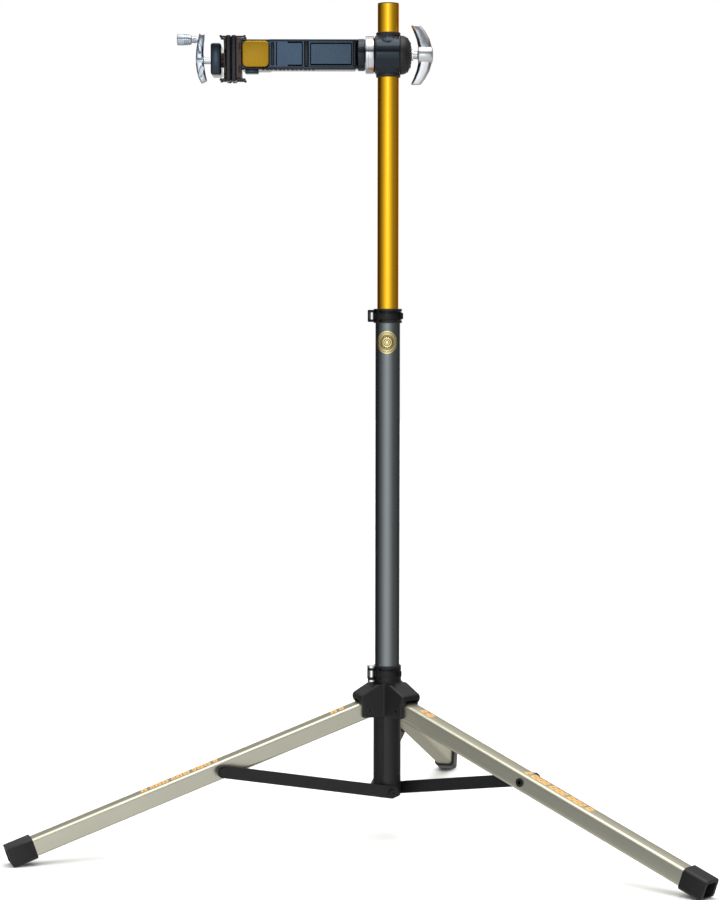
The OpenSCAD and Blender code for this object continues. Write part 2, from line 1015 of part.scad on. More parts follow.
module brace(i) {
    color([0.08, 0.08, 0.09])
        on_brace(i)
            difference() {
                push_y(-brace_t / 2, brace_t / 2) {
                    circle(brace_h / 2);
                    translate([0, -brace_h / 2])
                        square([brace_len, brace_h]);
                    translate([brace_len, 0])
                        circle(brace_h / 2);
                }
                rod_y(brace_bolt_r + run, -far, far);
                translate([brace_len, 0, 0])
                    rod_y(brace_bolt_r, -far, far);
            }
}

// Bolt, washer and spacer that stay with the brace's outer end
module brace_bolt(i) {
    color([0.15, 0.15, 0.15])
        on_brace(i)
            translate([brace_len, 0, 0]) {
                rod_y(brace_bolt_r, -brace_t / 2, brace_t / 2);
                rod_y(6.5, brace_t / 2, brace_t / 2 + 2.6);
                rod_y(6, leg_w / 2 + gap - brace_off, -brace_t / 2);
            }
}

module left_leg_tube() { leg_tube(0); }
module right_leg_tube() { leg_tube(1); }
module rear_leg_tube() { leg_tube(2); }
module left_foot_cap() { foot_cap(0); }
module right_foot_cap() { foot_cap(1); }
module rear_foot_cap() { foot_cap(2); }
module left_leg_bushes() { leg_bushes(0); }
module right_leg_bushes() { leg_bushes(1); }
module rear_leg_bushes() { leg_bushes(2); }
module left_brace() { brace(0); }
module right_brace() { brace(1); }
module rear_brace() { brace(2); }
module left_brace_bolt() { brace_bolt(0); }
module right_brace_bolt() { brace_bolt(1); }
module rear_brace_bolt() { brace_bolt(2); }

mast_tube();
base_plug();
base_bolts();
collar_bush();
upper_collar();
upper_qr_barrel();
upper_qr_skewer();
upper_qr_lever();
upper_qr_nut();
glide_bush();
upper_tube();
tube_cap();
head_bushes();
head_body();
dome_cap();
thrust_washer();
wing_knob();
clamp_arm();
brake_ring();
draw_bolt();
inner_jaw_plate();
inner_jaw_pad();
inner_pad_clips();
release_button();
button_spring();
slide_bar();
bar_stop();
outer_housing();
feed_nut();
outer_jaw_plate();
outer_jaw_pad();
outer_pad_clips();
feed_screw();
crank_arm();
crank_knob();
hub_casting();
guide_sleeve();
hub_qr_barrel();
hub_qr_skewer();
hub_qr_lever();
hub_qr_nut();
leg_pivot_bolts();
leg_pivot_nuts();
left_leg_tube();
right_leg_tube();
rear_leg_tube();
left_foot_cap();
right_foot_cap();
rear_foot_cap();
left_leg_bushes();
right_leg_bushes();
rear_leg_bushes();
left_brace();
right_brace();
rear_brace();
left_brace_bolt();
right_brace_bolt();
rear_brace_bolt();
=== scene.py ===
import math

import bmesh
import bpy
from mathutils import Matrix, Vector


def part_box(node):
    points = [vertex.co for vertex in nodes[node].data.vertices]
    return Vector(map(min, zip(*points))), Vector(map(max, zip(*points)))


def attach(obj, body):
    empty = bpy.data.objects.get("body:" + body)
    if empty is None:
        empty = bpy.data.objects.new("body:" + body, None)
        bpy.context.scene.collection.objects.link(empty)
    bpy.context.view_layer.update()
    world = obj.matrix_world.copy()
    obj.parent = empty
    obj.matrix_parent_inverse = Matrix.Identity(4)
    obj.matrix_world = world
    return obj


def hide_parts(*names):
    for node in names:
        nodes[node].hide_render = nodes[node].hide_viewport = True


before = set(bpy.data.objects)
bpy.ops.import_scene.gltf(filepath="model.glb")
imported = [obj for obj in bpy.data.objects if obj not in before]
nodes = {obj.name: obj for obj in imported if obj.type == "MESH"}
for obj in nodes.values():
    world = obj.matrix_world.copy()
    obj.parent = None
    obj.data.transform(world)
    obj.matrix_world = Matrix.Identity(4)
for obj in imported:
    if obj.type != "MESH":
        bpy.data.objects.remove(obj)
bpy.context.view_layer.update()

# Lengths are in millimetres, and a piece's mesh is made in metres.
mm = 0.001
legTurn = {"left": 198.7, "right": 318.7, "rear": 78.7}   # the way each leg points, degrees round from +X
legSlope = 19.0   # below level, in degrees
pivotReach = 36.5   # from the mast's middle to each leg's pivot


def middle(node, axis):
    low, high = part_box(node)
    return (low[axis] + high[axis]) / 2 / mm


armZ = middle("brake_ring", 2)
jawZ = middle("inner_jaw_plate", 2)
screwZ = middle("feed_screw", 2)
pivotZ = middle("leg_pivot_bolts", 2)
neckZ = middle("hub_qr_barrel", 2)
collarZ = middle("upper_qr_barrel", 2)


# modelling steps

def active(*things):
    if bpy.context.mode != "OBJECT":
        bpy.ops.object.mode_set(mode="OBJECT")
    bpy.ops.object.select_all(action="DESELECT")
    for thing in things:
        thing.select_set(True)
    bpy.context.view_layer.objects.active = things[0]


def editAll(piece):
    active(piece)
    bpy.ops.object.mode_set(mode="EDIT")
    bpy.ops.mesh.select_mode(type="VERT")
    bpy.ops.mesh.select_all(action="SELECT")


def outward(piece, merge=1e-6):
    editAll(piece)
    bpy.ops.mesh.remove_doubles(threshold=merge)
    bpy.ops.mesh.normals_make_consistent(inside=False)
    bpy.ops.object.mode_set(mode="OBJECT")
    return piece


def settled(name):
    piece = bpy.context.object
    piece.name = piece.data.name = name
    active(piece)
    bpy.ops.object.transform_apply(location=True, rotation=True, scale=True)
    return piece


def block(name, low, high):
    bpy.ops.mesh.primitive_cube_add(
        size=1,
        location=[(a + b) / 2 * mm for a, b in zip(low, high)],
        scale=[(b - a) * mm for a, b in zip(low, high)],
    )
    return settled(name)


# Stands a shape that was made along Z on another axis
def lay(piece, axis, centre=(0, 0, 0)):
    piece.rotation_euler = {
        "X": (0, math.pi / 2, 0), "Y": (-math.pi / 2, 0, 0), "Z": (0, 0, 0)
    }[axis]
    piece.location = [c * mm for c in centre]
    active(piece)
    bpy.ops.object.transform_apply(location=True, rotation=True, scale=True)
    return piece


# A turned piece: rings of (place along the axis, radius). Ends meet when the last ring is the first.
def turned(name, rings, axis="Z", centre=(0, 0, 0), sides=72):
    along, radius = rings[0]
    bpy.ops.mesh.primitive_circle_add(vertices=sides, radius=radius * mm, location=(0, 0, along * mm))
    piece = settled(name)
    editAll(piece)
    for nextAlong, nextRadius in rings[1:]:
        bpy.ops.mesh.extrude_region_move(
            TRANSFORM_OT_translate={"value": (0, 0, (nextAlong - along) * mm)})
        if nextRadius != radius:
            grow = nextRadius / radius
            bpy.ops.transform.resize(value=(grow, grow, 1), center_override=(0, 0, nextAlong * mm))
        along, radius = nextAlong, nextRadius
    bpy.ops.mesh.select_all(action="SELECT")
    if rings[0] != rings[-1]:
        bpy.ops.mesh.fill_holes(sides=0)
    bpy.ops.object.mode_set(mode="OBJECT")
    return lay(outward(piece), axis, centre)


# A bar drawn out through sections of (centre, width in X, depth in Y, tilt about Y in degrees).
# round is the corners' size and number of steps in the first section.
def drawn(name, sections, round=None):
    centre, width, depth, tilt = sections[0]
    bpy.ops.mesh.primitive_plane_add(
        size=1, location=[c * mm for c in centre], scale=(width * mm, depth * mm, 1))
    piece = bpy.context.object
    piece.scale = (width * mm, depth * mm, 1)
    piece = settled(name)
    editAll(piece)
    if round:
        bpy.ops.mesh.bevel(affect="VERTICES", offset=round[0] * mm, segments=round[1])
        bpy.ops.mesh.select_all(action="SELECT")

    def lean(angle, at):
        if angle:
            bpy.ops.transform.rotate(   # with no window it turns the other way
                value=-math.radians(angle), orient_axis="Y", orient_type="GLOBAL", center_override=at)

    lean(tilt, [c * mm for c in centre])
    for nextCentre, nextWidth, nextDepth, nextTilt in sections[1:]:
        at = [c * mm for c in nextCentre]
        bpy.ops.mesh.extrude_region_move(
            TRANSFORM_OT_translate={"value": [(b - a) * mm for a, b in zip(centre, nextCentre)]})
        lean(-tilt, at)
        bpy.ops.transform.resize(value=(nextWidth / width, nextDepth / depth, 1), center_override=at)
        lean(nextTilt, at)
        centre, width, depth, tilt = nextCentre, nextWidth, nextDepth, nextTilt
    bpy.ops.object.mode_set(mode="OBJECT")
    return outward(piece)


def modify(piece, kind, **settings):
    active(piece)
    change = piece.modifiers.new(kind.lower(), kind)
    for key, value in settings.items():
        setattr(change, key, value)
    bpy.ops.object.modifier_apply(modifier=change.name)
    return piece


def soften(piece, width, steps=2, angle=35):
    return modify(piece, "BEVEL", width=width * mm, segments=steps, limit_method="ANGLE",
                  angle_limit=math.radians(angle), harden_normals=False, miter_outer="MITER_ARC")


# Rounds a block's four edges along one axis
def roundAlong(piece, axis, width, steps):
    editAll(piece)
    bpy.ops.mesh.select_mode(type="EDGE")
    bpy.ops.mesh.select_all(action="DESELECT")
    mesh = bmesh.from_edit_mesh(piece.data)
    for edge in mesh.edges:
        way = edge.verts[0].co - edge.verts[1].co
        edge.select_set(abs(way["XYZ".index(axis)]) > 0.99 * way.length)
    bmesh.update_edit_mesh(piece.data)
    bpy.ops.mesh.bevel(offset=width * mm, segments=steps, affect="EDGES")
    bpy.ops.object.mode_set(mode="OBJECT")
    return piece


# Adds other shapes to a piece or cuts them out of it
def combine(piece, how, *others):
    for other in others:
        modify(piece, "BOOLEAN", operation=how, object=other, solver="EXACT")
        bpy.data.objects.remove(other)
    return outward(piece)


# Melts joined shapes into one casting with soft inner corners
def cast(piece, grain, rounds):
    modify(piece, "REMESH", mode="VOXEL", voxel_size=grain * mm)
    return modify(piece, "SMOOTH", factor=0.5, iterations=rounds)


def copied(piece, name):
    twin = piece.copy()
    twin.data = piece.data.copy()
    twin.name = twin.data.name = name
    bpy.context.scene.collection.objects.link(twin)
    return twin


def spun(piece, angle, axis="Z", centre=(0, 0, 0)):
    active(piece)
    piece.location = [-c * mm for c in centre]
    bpy.ops.object.transform_apply(location=True, rotation=False, scale=False)
    piece.rotation_euler["XYZ".index(axis)] = math.radians(angle)
    piece.location = [c * mm for c in centre]
    bpy.ops.object.transform_apply(location=True, rotation=True, scale=False)
    return piece


def joined(name, pieces):
    active(*pieces)
    bpy.ops.object.join()
    piece = bpy.context.object
    piece.name = piece.data.name = name
    return piece


# A copy of a frame part with flat faces rejoined and its edges eased
def eased(node, name, width, steps=2, angle=40):
    piece = bpy.data.objects.new(name, nodes[node].data.copy())
    bpy.context.scene.collection.objects.link(piece)
    active(piece)
    bpy.ops.mesh.customdata_custom_splitnormals_clear()
    outward(piece, 1e-5)
    editAll(piece)
    bpy.ops.mesh.dissolve_limited(angle_limit=math.radians(0.6))
    bpy.ops.object.mode_set(mode="OBJECT")
    return soften(piece, width, steps, angle)


# From a leg's own frame (X down the leg, Y its pivot's axis, Z up) to the stand's
def ontoLeg(piece, side):
    active(piece)
    piece.rotation_euler = (0, math.radians(legSlope), 0)
    bpy.ops.object.transform_apply(location=True, rotation=True, scale=True)
    piece.location = (pivotReach * mm, 0, pivotZ * mm)
    bpy.ops.object.transform_apply(location=True, rotation=True, scale=True)
    piece.rotation_euler = (0, 0, math.radians(legTurn[side]))
    bpy.ops.object.transform_apply(location=True, rotation=True, scale=True)
    return piece


# How sharp a convex edge each point lies on, for wear in the finishes and for the painted edge highlight on the
# release button
def markEdges(piece):
    mesh = bmesh.new()
    mesh.from_mesh(piece.data)
    sharp = [0.0] * len(mesh.verts)
    for edge in mesh.edges:
        if len(edge.link_faces) == 2 and edge.is_convex:
            bend = min(edge.calc_face_angle(0.0) / 0.9, 1.0)
            for point in edge.verts:
                sharp[point.index] = max(sharp[point.index], bend)
    mesh.free()
    worn = piece.data.attributes.new("edge", "FLOAT", "POINT")
    worn.data.foreach_set("value", sharp)


def finished(piece, body, finish, replaced=(), smooth=38):
    active(piece)
    if smooth is None:
        bpy.ops.object.shade_smooth()
    else:
        bpy.ops.object.shade_smooth_by_angle(angle=math.radians(smooth))
    markEdges(piece)
    piece.data.materials.clear()
    piece.data.materials.append(finish)
    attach(piece, body)
    if replaced:
        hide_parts(*replaced)
    return piece


# finishes

# A shader value that adds its own Math nodes when it is used in a sum
class Value:
    def __init__(self, sheet, socket):
        self.sheet, self.socket = sheet, socket

    def maths(self, operation, first, second):
        return self.sheet.node("Math", {"operation": operation}, {0: first, 1: second})

    def __add__(self, other): return self.maths("ADD", self, other)
    def __radd__(self, other): return self.maths("ADD", other, self)
    def __sub__(self, other): return self.maths("SUBTRACT", self, other)
    def __rsub__(self, other): return self.maths("SUBTRACT", other, self)
    def __mul__(self, other): return self.maths("MULTIPLY", self, other)
    def __rmul__(self, other): return self.maths("MULTIPLY", other, self)
    def __truediv__(self, other): return self.maths("DIVIDE", self, other)
    def __pow__(self, other): return self.maths("POWER", self, other)
    def __gt__(self, other): return self.maths("GREATER_THAN", self, other)
    def __lt__(self, other): return self.maths("LESS_THAN", self, other)


# A set of nodes, as in a finish or the sky
class Sheet:
    def __init__(self, tree):
        self.tree = tree

    # One node: its kind, its settings, its sockets' values or links, and which output to use
    def node(self, kind, settings=None, sockets=None, out=0):
        made = self.tree.nodes.new("ShaderNode" + kind)
        for key, value in (settings or {}).items():
            if key == "stops":
                ramp = made.color_ramp
                while len(ramp.elements) < len(value):
                    ramp.elements.new(0.5)
                for stop, (place, colour) in zip(ramp.elements, value):
                    stop.position, stop.color = place, (*colour, 1)
            else:
                setattr(made, key, value)
        for key, value in (sockets or {}).items():
            if isinstance(value, Value):
                self.tree.links.new(value.socket, made.inputs[key])
            else:
                made.inputs[key].default_value = value
        return Value(self, made.outputs[out])

    def place(self):
        return self.node("TexCoord", out=3)

    def noise(self, vector, scale, detail=3.0, rough=0.55):
        return self.node("TexNoise", sockets={
            "Vector": vector, "Scale": scale, "Detail": detail, "Roughness": rough})

    def stretched(self, vector, amounts):
        return self.node("VectorMath", {"operation": "MULTIPLY"}, {0: vector, 1: amounts})

    def between(self, amount, first, second):
        return self.node("Mix", {"data_type": "RGBA", "clamp_factor": True}, {
            0: amount,
            6: first if isinstance(first, Value) else (*first, 1),
            7: second if isinstance(second, Value) else (*second, 1)}, out=2)

    # 0 to 1 between two values
    def step(self, value, low, high):
        return self.node("MapRange", {"clamp": True}, {0: value, 1: low, 2: high, 3: 0.0, 4: 1.0})

    def parts(self, vector):
        return [self.node("SeparateXYZ", sockets={0: vector}, out=i) for i in range(3)]


class Finish(Sheet):
    def __init__(self, name, **looks):
        self.material = bpy.data.materials.new(name)
        self.material.use_nodes = True
        super().__init__(self.material.node_tree)
        self.shader = self.tree.nodes["Principled BSDF"]
        for key, value in looks.items():
            self.give(key, value)

    def give(self, key, value):
        socket = self.shader.inputs[key.replace("_", " ")]
        if isinstance(value, Value):
            self.tree.links.new(value.socket, socket)
        else:
            socket.default_value = (*value, 1) if isinstance(value, tuple) else value

    def bump(self, height, strength, distance):
        self.give("Normal", self.node("Bump", sockets={
            "Height": height, "Strength": strength, "Distance": distance}))


def scaled(colour, amount):
    return tuple(c * amount for c in colour)


# Anodised tube with fine lines drawn along it. turn and slope point the lines, in degrees.
def anodised(name, colour, tint, rough, turn=None, slope=0.0, grain=0.05, metal=1.0):
    sheet = Finish(name, Metallic=metal, Specular_Tint=tint)
    vector = sheet.place()
    if turn is None:
        along = sheet.stretched(vector, (1.0, 1.0, 0.012))
    else:
        vector = sheet.node("Mapping", sockets={0: vector, 2: (0, 0, -math.radians(turn))})
        vector = sheet.node("Mapping", sockets={0: vector, 2: (0, -math.radians(slope), 0)})
        along = sheet.stretched(vector, (0.012, 1.0, 1.0))
    lines = sheet.noise(along, 1800.0, 4.0, 0.7)
    cloud = sheet.noise(vector, 9.0, 3.0)
    specks = sheet.noise(vector, 900.0, 2.0)
    mixed = 0.6 * lines + 0.4 * cloud
    sheet.give("Base_Color", sheet.between(
        sheet.step(mixed, 0.3, 0.7), scaled(colour, 0.93), scaled(colour, 1.05)))
    sheet.give("Roughness", rough - grain + 2 * grain * (0.5 * lines + 0.5 * specks))
    sheet.bump(0.7 * lines + 0.3 * specks, 0.10, 0.0002)
    return sheet.material


# Cast or coated black: fine orange peel, cloudy tone and rubbed edges
def coated(name, colour, worn, rough, peel=700.0, lift=0.25, wear=0.5, **looks):
    sheet = Finish(name, **looks)
    vector = sheet.place()
    cloud = sheet.noise(vector, 24.0, 4.0)
    fine = sheet.noise(vector, peel, 3.0)
    edge = sheet.node("Attribute", {"attribute_name": "edge"}, out=2)
    rub = sheet.step(edge * (0.45 + sheet.noise(vector, 160.0, 3.0)), 0.55, 1.15) * wear
    base = sheet.between(cloud, scaled(colour, 0.8), scaled(colour, 1.25))
    sheet.give("Base_Color", sheet.between(rub, base, worn))
    sheet.give("Roughness", rough - 0.05 + 0.12 * cloud + 0.06 * fine)
    sheet.bump(fine, lift, 0.0002)
    return sheet.material


# Bare metal: turned or polished, with hairline scratches
def bright(name, colour, rough, scratch=0.06, lines=(1.0, 1.0, 1.0), **looks):
    sheet = Finish(name, Metallic=1.0, **looks)
    vector = sheet.place()
    hair = sheet.noise(sheet.stretched(vector, lines), 1500.0, 5.0, 0.7)
    cloud = sheet.noise(vector, 60.0, 3.0)
    sheet.give("Base_Color", sheet.between(cloud, scaled(colour, 0.92), scaled(colour, 1.04)))
    sheet.give("Roughness", rough + scratch * (hair + cloud - 1.0))
    sheet.bump(hair, 0.08, 0.0001)
    return sheet.material


gunmetal = anodised("gunmetalTube", (0.195, 0.212, 0.218), (0.5, 0.52, 0.5), 0.30)
gold = anodised("goldTube", (1.0, 0.52, 0.024), (0.95, 0.22, 0.05), 0.29)
champagne = {
    side: anodised("champagneTube_" + side, (0.67, 0.655, 0.535), (0.90, 0.88, 0.80), 0.35, turn, legSlope)
    for side, turn in legTurn.items()}
blackCast = coated("blackCasting", (0.007, 0.007, 0.008), (0.05, 0.05, 0.05), 0.36, lift=0.15, wear=0.3,
                   Specular_IOR_Level=0.32)
blackGloss = coated("blackGloss", (0.004, 0.0045, 0.006), (0.03, 0.03, 0.035), 0.13, peel=240.0, lift=0.04,
                    wear=0.35, Specular_Tint=(0.6, 0.8, 1.0), Specular_IOR_Level=0.42, Coat_Weight=0.08,
                    Coat_Roughness=0.08)
blackLever = coated("blackLever", (0.003, 0.003, 0.0035), (0.05, 0.05, 0.05), 0.20, peel=420.0, lift=0.10,
                    Specular_IOR_Level=0.26)
blackPlastic = coated("blackPlastic", (0.008, 0.008, 0.009), (0.04, 0.04, 0.04), 0.38, peel=1300.0, lift=0.25,
                      wear=0.3, Specular_IOR_Level=0.36)
blackSteel = coated("blackSteel", (0.008, 0.008, 0.009), (0.08, 0.075, 0.07), 0.34, peel=900.0, lift=0.15,
                    wear=0.3, Specular_IOR_Level=0.36)
rubber = coated("padRubber", (0.006, 0.006, 0.007), (0.02, 0.02, 0.02), 0.27, peel=1800.0, lift=0.15, wear=0.3,
                Specular_IOR_Level=0.35)
brownPlate = coated("jawPlate", (0.034, 0.023, 0.018), (0.16, 0.11, 0.09), 0.34, Metallic=0.6)
mauvePlate = coated("innerPlate", (0.050, 0.036, 0.031), (0.20, 0.15, 0.13), 0.38, Metallic=0.55)
capBrown = coated("tubeMouth", (0.055, 0.026, 0.010), (0.20, 0.10, 0.03), 0.40)
polished = bright("polishedAlloy", (0.64, 0.66, 0.69), 0.12)
satinAlloy = bright("satinAlloy", (0.60, 0.605, 0.62), 0.24, scratch=0.08)
crankAlloy = bright("crankAlloy", (0.47, 0.50, 0.55), 0.21, scratch=0.08)
chrome = bright("brightSteel", (0.76, 0.77, 0.79), 0.10)
brass = bright("brass", (0.66, 0.48, 0.20), 0.24)
acetal = coated("whiteAcetal", (0.70, 0.69, 0.65), (0.75, 0.74, 0.70), 0.40, wear=0.1)


def buttonFinish():
    sheet = Finish("goldButton", Metallic=1.0, Coat_Weight=0.05, Coat_Roughness=0.12,
                   Specular_Tint=(1.0, 0.7, 0.2))
    vector = sheet.place()
    cloud = sheet.noise(vector, 30.0, 3.0)
    fine = sheet.noise(vector, 1500.0, 2.0)
    edge = sheet.node("Attribute", {"attribute_name": "edge"}, out=2)
    base = sheet.between(cloud, (0.26, 0.125, 0.003), (0.32, 0.155, 0.004))
    # Painted highlight: the bevelled edges are painted a brighter gold
    sheet.give("Base_Color", sheet.between(0.7 * edge, base, (0.75, 0.50, 0.06)))
    sheet.give("Roughness", 0.32 + 0.10 * cloud)
    sheet.bump(fine, 0.12, 0.0001)
    return sheet.material


buttonGold = buttonFinish()


def inkFinish():
    sheet = Finish("orangeInk")
    vector = sheet.place()
    patch = sheet.noise(vector, 220.0, 4.0)
    sheet.give("Base_Color", sheet.between(patch, (0.95, 0.42, 0.06), (1.0, 0.50, 0.10)))
    sheet.give("Roughness", 0.40 + 0.15 * patch)
    sheet.bump(sheet.noise(vector, 1600.0, 2.0), 0.15, 0.0001)
    return sheet.material


orangeInk = inkFinish()
print("finishes made")


# pieces of the clamp's head

head = {"barrel": 29.2, "seam": -5.0, "seamWidth": 0.5, "neck": 18.7, "bore": 17.25, "grain": 0.75}


def headBody():
    r = head["barrel"]
    body = turned("headBody", [(-21.2, r - 4.5), (-21.0, r - 2.4), (-20.2, r - 1.0), (-18.8, r - 0.15),
                               (-17, r), (17.5, r)], "X", (0, 0, armZ), 96)
    for side in (-1, 1):
        neck = turned("neck", [(0, 24), (18, 24), (21, 22.6), (24, 20.7), (27, 19.3), (29, 18.9)], "Z")
        neck.rotation_euler = (0 if side > 0 else math.pi, 0, 0)
        neck.location = (-1.5 * mm, 0, armZ * mm)
        active(neck)
        bpy.ops.object.transform_apply(location=True, rotation=True, scale=True)
        combine(body, "UNION", neck)
    cast(body, head["grain"], 7)
    combine(body, "DIFFERENCE",
            block("squareEnd", (17.3, -40, armZ - 40), (30, 40, armZ + 40)),
            turned("bore", [(armZ - 40, head["bore"]), (armZ + 40, head["bore"])]),
            turned("seam", [(head["seam"], r - 0.5), (head["seam"], 40), (head["seam"] + head["seamWidth"], 40),
                            (head["seam"] + head["seamWidth"], r - 0.5), (head["seam"], r - 0.5)],
                   "X", (0, 0, armZ), 96))
    return finished(body, "upper_mast", blackGloss, ["head_body"])


bush = {"bore": 16.4, "sleeve": 17.2, "flange": 18.7, "start": 8, "lip": 29.2, "end": 34}


def headBushes():
    start, lip, end = bush["start"], bush["lip"], bush["end"]
    profile = [(start, bush["bore"]), (lip, bush["bore"]), (end, bush["bore"]), (end, bush["flange"] - 0.8),
               (end - 0.7, bush["flange"]), (lip + 0.1, bush["flange"]), (lip, bush["sleeve"]),
               (start, bush["sleeve"]), (start, bush["bore"])]
    rings = [turned("bush", [(armZ + side * out, radius) for out, radius in profile]) for side in (-1, 1)]
    return finished(joined("headBushes", rings), "upper_mast", blackPlastic, ["head_bushes"])


dome = {"radius": 29.6, "start": 17.7, "rise": 18.4, "fullness": 2.5,
        "pips": [(29.6, 30), (33.6, 22)], "pipSize": 1.15}   # each row's place and number


def domeCap():
    r, x, rise, power = dome["radius"], dome["start"], dome["rise"], dome["fullness"]
    rings = [(x, 6.0), (x, r - 1.2), (x + 0.3, r - 0.3), (x + 1.0, r)]
    for i in range(1, 15):
        angle = i / 15 * math.pi / 2
        rings.append((x + 1.0 + (rise - 1.0) * math.sin(angle) ** (2 / power),
                      max(r * math.cos(angle) ** (2 / power), 6.4)))
    rings += [(x + rise, 5.4), (x, 5.4), (x, 6.0)]
    cap = turned("domeCap", rings, "X", (0, 0, armZ), 96)
    pips = [cap]
    for along, count in dome["pips"]:
        share = (along - x - 1.0) / (rise - 1.0)
        reach = r * (1 - share ** power) ** (1 / power)
        for i in range(count):
            angle = 2 * math.pi * i / count
            bpy.ops.mesh.primitive_ico_sphere_add(
                subdivisions=2, radius=dome["pipSize"] * mm,
                location=((along - 0.1) * mm, (reach - 0.25) * math.cos(angle) * mm,
                          (armZ + (reach - 0.25) * math.sin(angle)) * mm))
            pips.append(settled("pip"))
    return finished(joined("domeCap", pips), "upper_mast", blackPlastic, ["dome_cap"])


ring = {"left": -35.0, "right": -21.6, "radius": 28.7, "bore": 12, "groove": -30.5}


def brakeRing():
    left, right, r, groove = ring["left"], ring["right"], ring["radius"], ring["groove"]
    shell = turned("brakeRing", [
        (left, ring["bore"]), (left, r - 1.5), (left + 0.6, r - 0.4), (left + 1.6, r), (groove - 0.3, r),
        (groove, r - 0.4), (groove + 0.3, r), (right - 1.8, r), (right - 0.7, r - 0.4), (right, r - 1.5),
        (right, ring["bore"]), (left, ring["bore"])], "X", (0, 0, armZ), 112)
    return finished(shell, "clamp", polished, ["brake_ring"])


wing = {"hub": 13.9, "sections": [   # height, middle in X, width, depth
    (-45.2, 42.2, 12.6, 9), (-44.0, 42.6, 15.6, 11), (-36, 47.6, 18.0, 12.5), (-24, 53.2, 20.0, 15),
    (-13.5, 55.8, 20.6, 17.5), (0, 56.4, 21.2, 19)]}


def wingKnob():
    up = wing["sections"]
    down = [(-z, x, w, d) for z, x, w, d in reversed(up[:-1])]
    knob = drawn("wingKnob", [((x, 0, armZ + z), w, d, 0) for z, x, w, d in up + down], (2.6, 1))
    hub = turned("hub", [(45.4, 12.4), (46.2, 13.5), (47.2, wing["hub"]), (64.2, wing["hub"]), (66.8, 12.6),
                         (68.2, 9.8), (68.6, 6)], "X", (0, 0, armZ), 80)
    neck = turned("neck", [(38.7, 5.6), (39.2, 6.2), (44.4, 6.2), (46.6, 8.2), (50, 8.4)], "X", (0, 0, armZ), 64)
    soften(knob, 0.9, 2, 24)
    combine(knob, "UNION", hub, neck)
    combine(knob, "DIFFERENCE", turned("bore", [(30, 5.1), (61, 5.1)], "X", (0, 0, armZ), 48))
    return finished(knob, "knob", satinAlloy, ["wing_knob"], smooth=30)


# clamp arm

button = {"middle": -202.5, "corner": 7.6, "half": 19.8, "front": -19}
arm = {
    "start": -46.7, "end": -182, "top": 22.5, "bottom": -21.5, "half": 13.5,
    "panels": [   # left, right, bottom, top and the length of the lugs at the left
        (-119.5, -55.5, -16.8, 17.6, 0), (-171.5, -130.5, -18.0, 19.0, 18)],
    "island": 1.6, "pocket": 4.6,
    "ribs": [(-129.8, -120.2), (-55.5, -47.3)], "endRib": (-182, -171.6),
    "grips": 13, "gripPitch": 6.4}


# The shape to cut for a panel: a pocket with a raised middle, and lugs where they are wanted
def armPanel(left, right, low, high, lugs):
    face, island = -arm["half"], arm["island"]
    cutter = soften(block("pocket", (left, -20, armZ + low), (right, face + arm["pocket"], armZ + high)), 1.6, 2)
    core = block("core", (left + island, -30, armZ + low + 2.2), (right - island, face + 2.0, armZ + high - 2.2))
    combine(cutter, "DIFFERENCE", soften(core, 0.8, 2))
    if lugs:
        for edge in (low + 1.1, high - 1.1):
            lug = block("lug", (left + island, -30, armZ + edge - 3), (left + lugs, face + 1.3, armZ + edge + 3))
            combine(cutter, "DIFFERENCE", soften(lug, 0.6, 2))
    return cutter


def clampArm():
    half = arm["half"]
    beam = block("clampArm", (arm["end"] - 2, -half, armZ + arm["bottom"]),
                 (arm["start"], half, armZ + arm["top"]))
    soften(beam, 2.2, 3)
    cuts = []
    for left, right, low, high, lugs in arm["panels"]:
        cutter = armPanel(left, right, low, high, lugs)
        back = copied(cutter, "pocketBack")
        cuts += [cutter, spun(back, 180, "X", (0, 0, armZ + (low + high) / 2))]
    combine(beam, "DIFFERENCE", *cuts)
    # The lips along the top and the bottom, and the flange that meets the ring
    extras = [
        soften(block("topLip", (arm["end"], -15, armZ + 19.4),
                     (arm["start"] + 1, 15, armZ + arm["top"] + 0.1)), 1.2, 3),
        soften(block("bottomLip", (arm["end"], -16.5, armZ - 23.4),
                     (arm["start"] - 3, 16.5, armZ - 19.6)), 1.4, 3),
        turned("flange", [(-51, 11), (-46.9, 11), (-46.9, 23.0), (-45.6, 24.4), (-37.0, 24.4), (-36.0, 23.8),
                          (-35.3, 22.6), (-35.3, 10.8), (-22.6, 10.8)], "X", (0, 0, armZ), 96),
    ]
    end = block("endBlock", (-223.9, -11.9, armZ - 22.9), (-179.5, 38.4, armZ + 22.9))
    soften(end, 2.6, 3)
    shoe = soften(block("shoe", (-218.8, -8.8, armZ - 28.9), (-198.2, 8.8, armZ - 22)), 1.4, 3)
    combine(beam, "UNION", *extras, end, shoe)
    seat = block("seat", (-224.5, -30, armZ - 20.6), (-181.0, -5, armZ + 20.6))
    low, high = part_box("slide_bar")
    channel = block("channel", (-230, low.y / mm - 0.3, low.z / mm - 0.3),
                    (-170, high.y / mm + 0.3, high.z / mm + 0.3))
    combine(beam, "DIFFERENCE", seat, channel,
            turned("springSeat", [(-6, 8), (3, 8)], "Y", (button["middle"], 0, jawZ), 48),
            turned("plungerBore", [(-6, 4.1), (30, 4.1)], "Y", (button["middle"], 0, jawZ), 48),
            turned("boltBore", [(-63, 5.05), (0, 5.05)], "X", (0, 0, armZ), 48))
    return finished(beam, "clamp", blackGloss, ["clamp_arm"], smooth=34)


# The round ribs between the panels
def armRibs():
    half = arm["half"] + 1.3
    ribs = [soften(block("rib", (left, -half, armZ - 20), (right, half, armZ + 21)), 3.9, 6)
            for left, right in arm["ribs"]]
    left, right = arm["endRib"]
    ribs.append(soften(block("rib", (left, 0.7 - half, armZ - 20), (right, half, armZ + 21)), 4.6, 6))
    return finished(joined("armRibs", ribs), "clamp", blackLever)


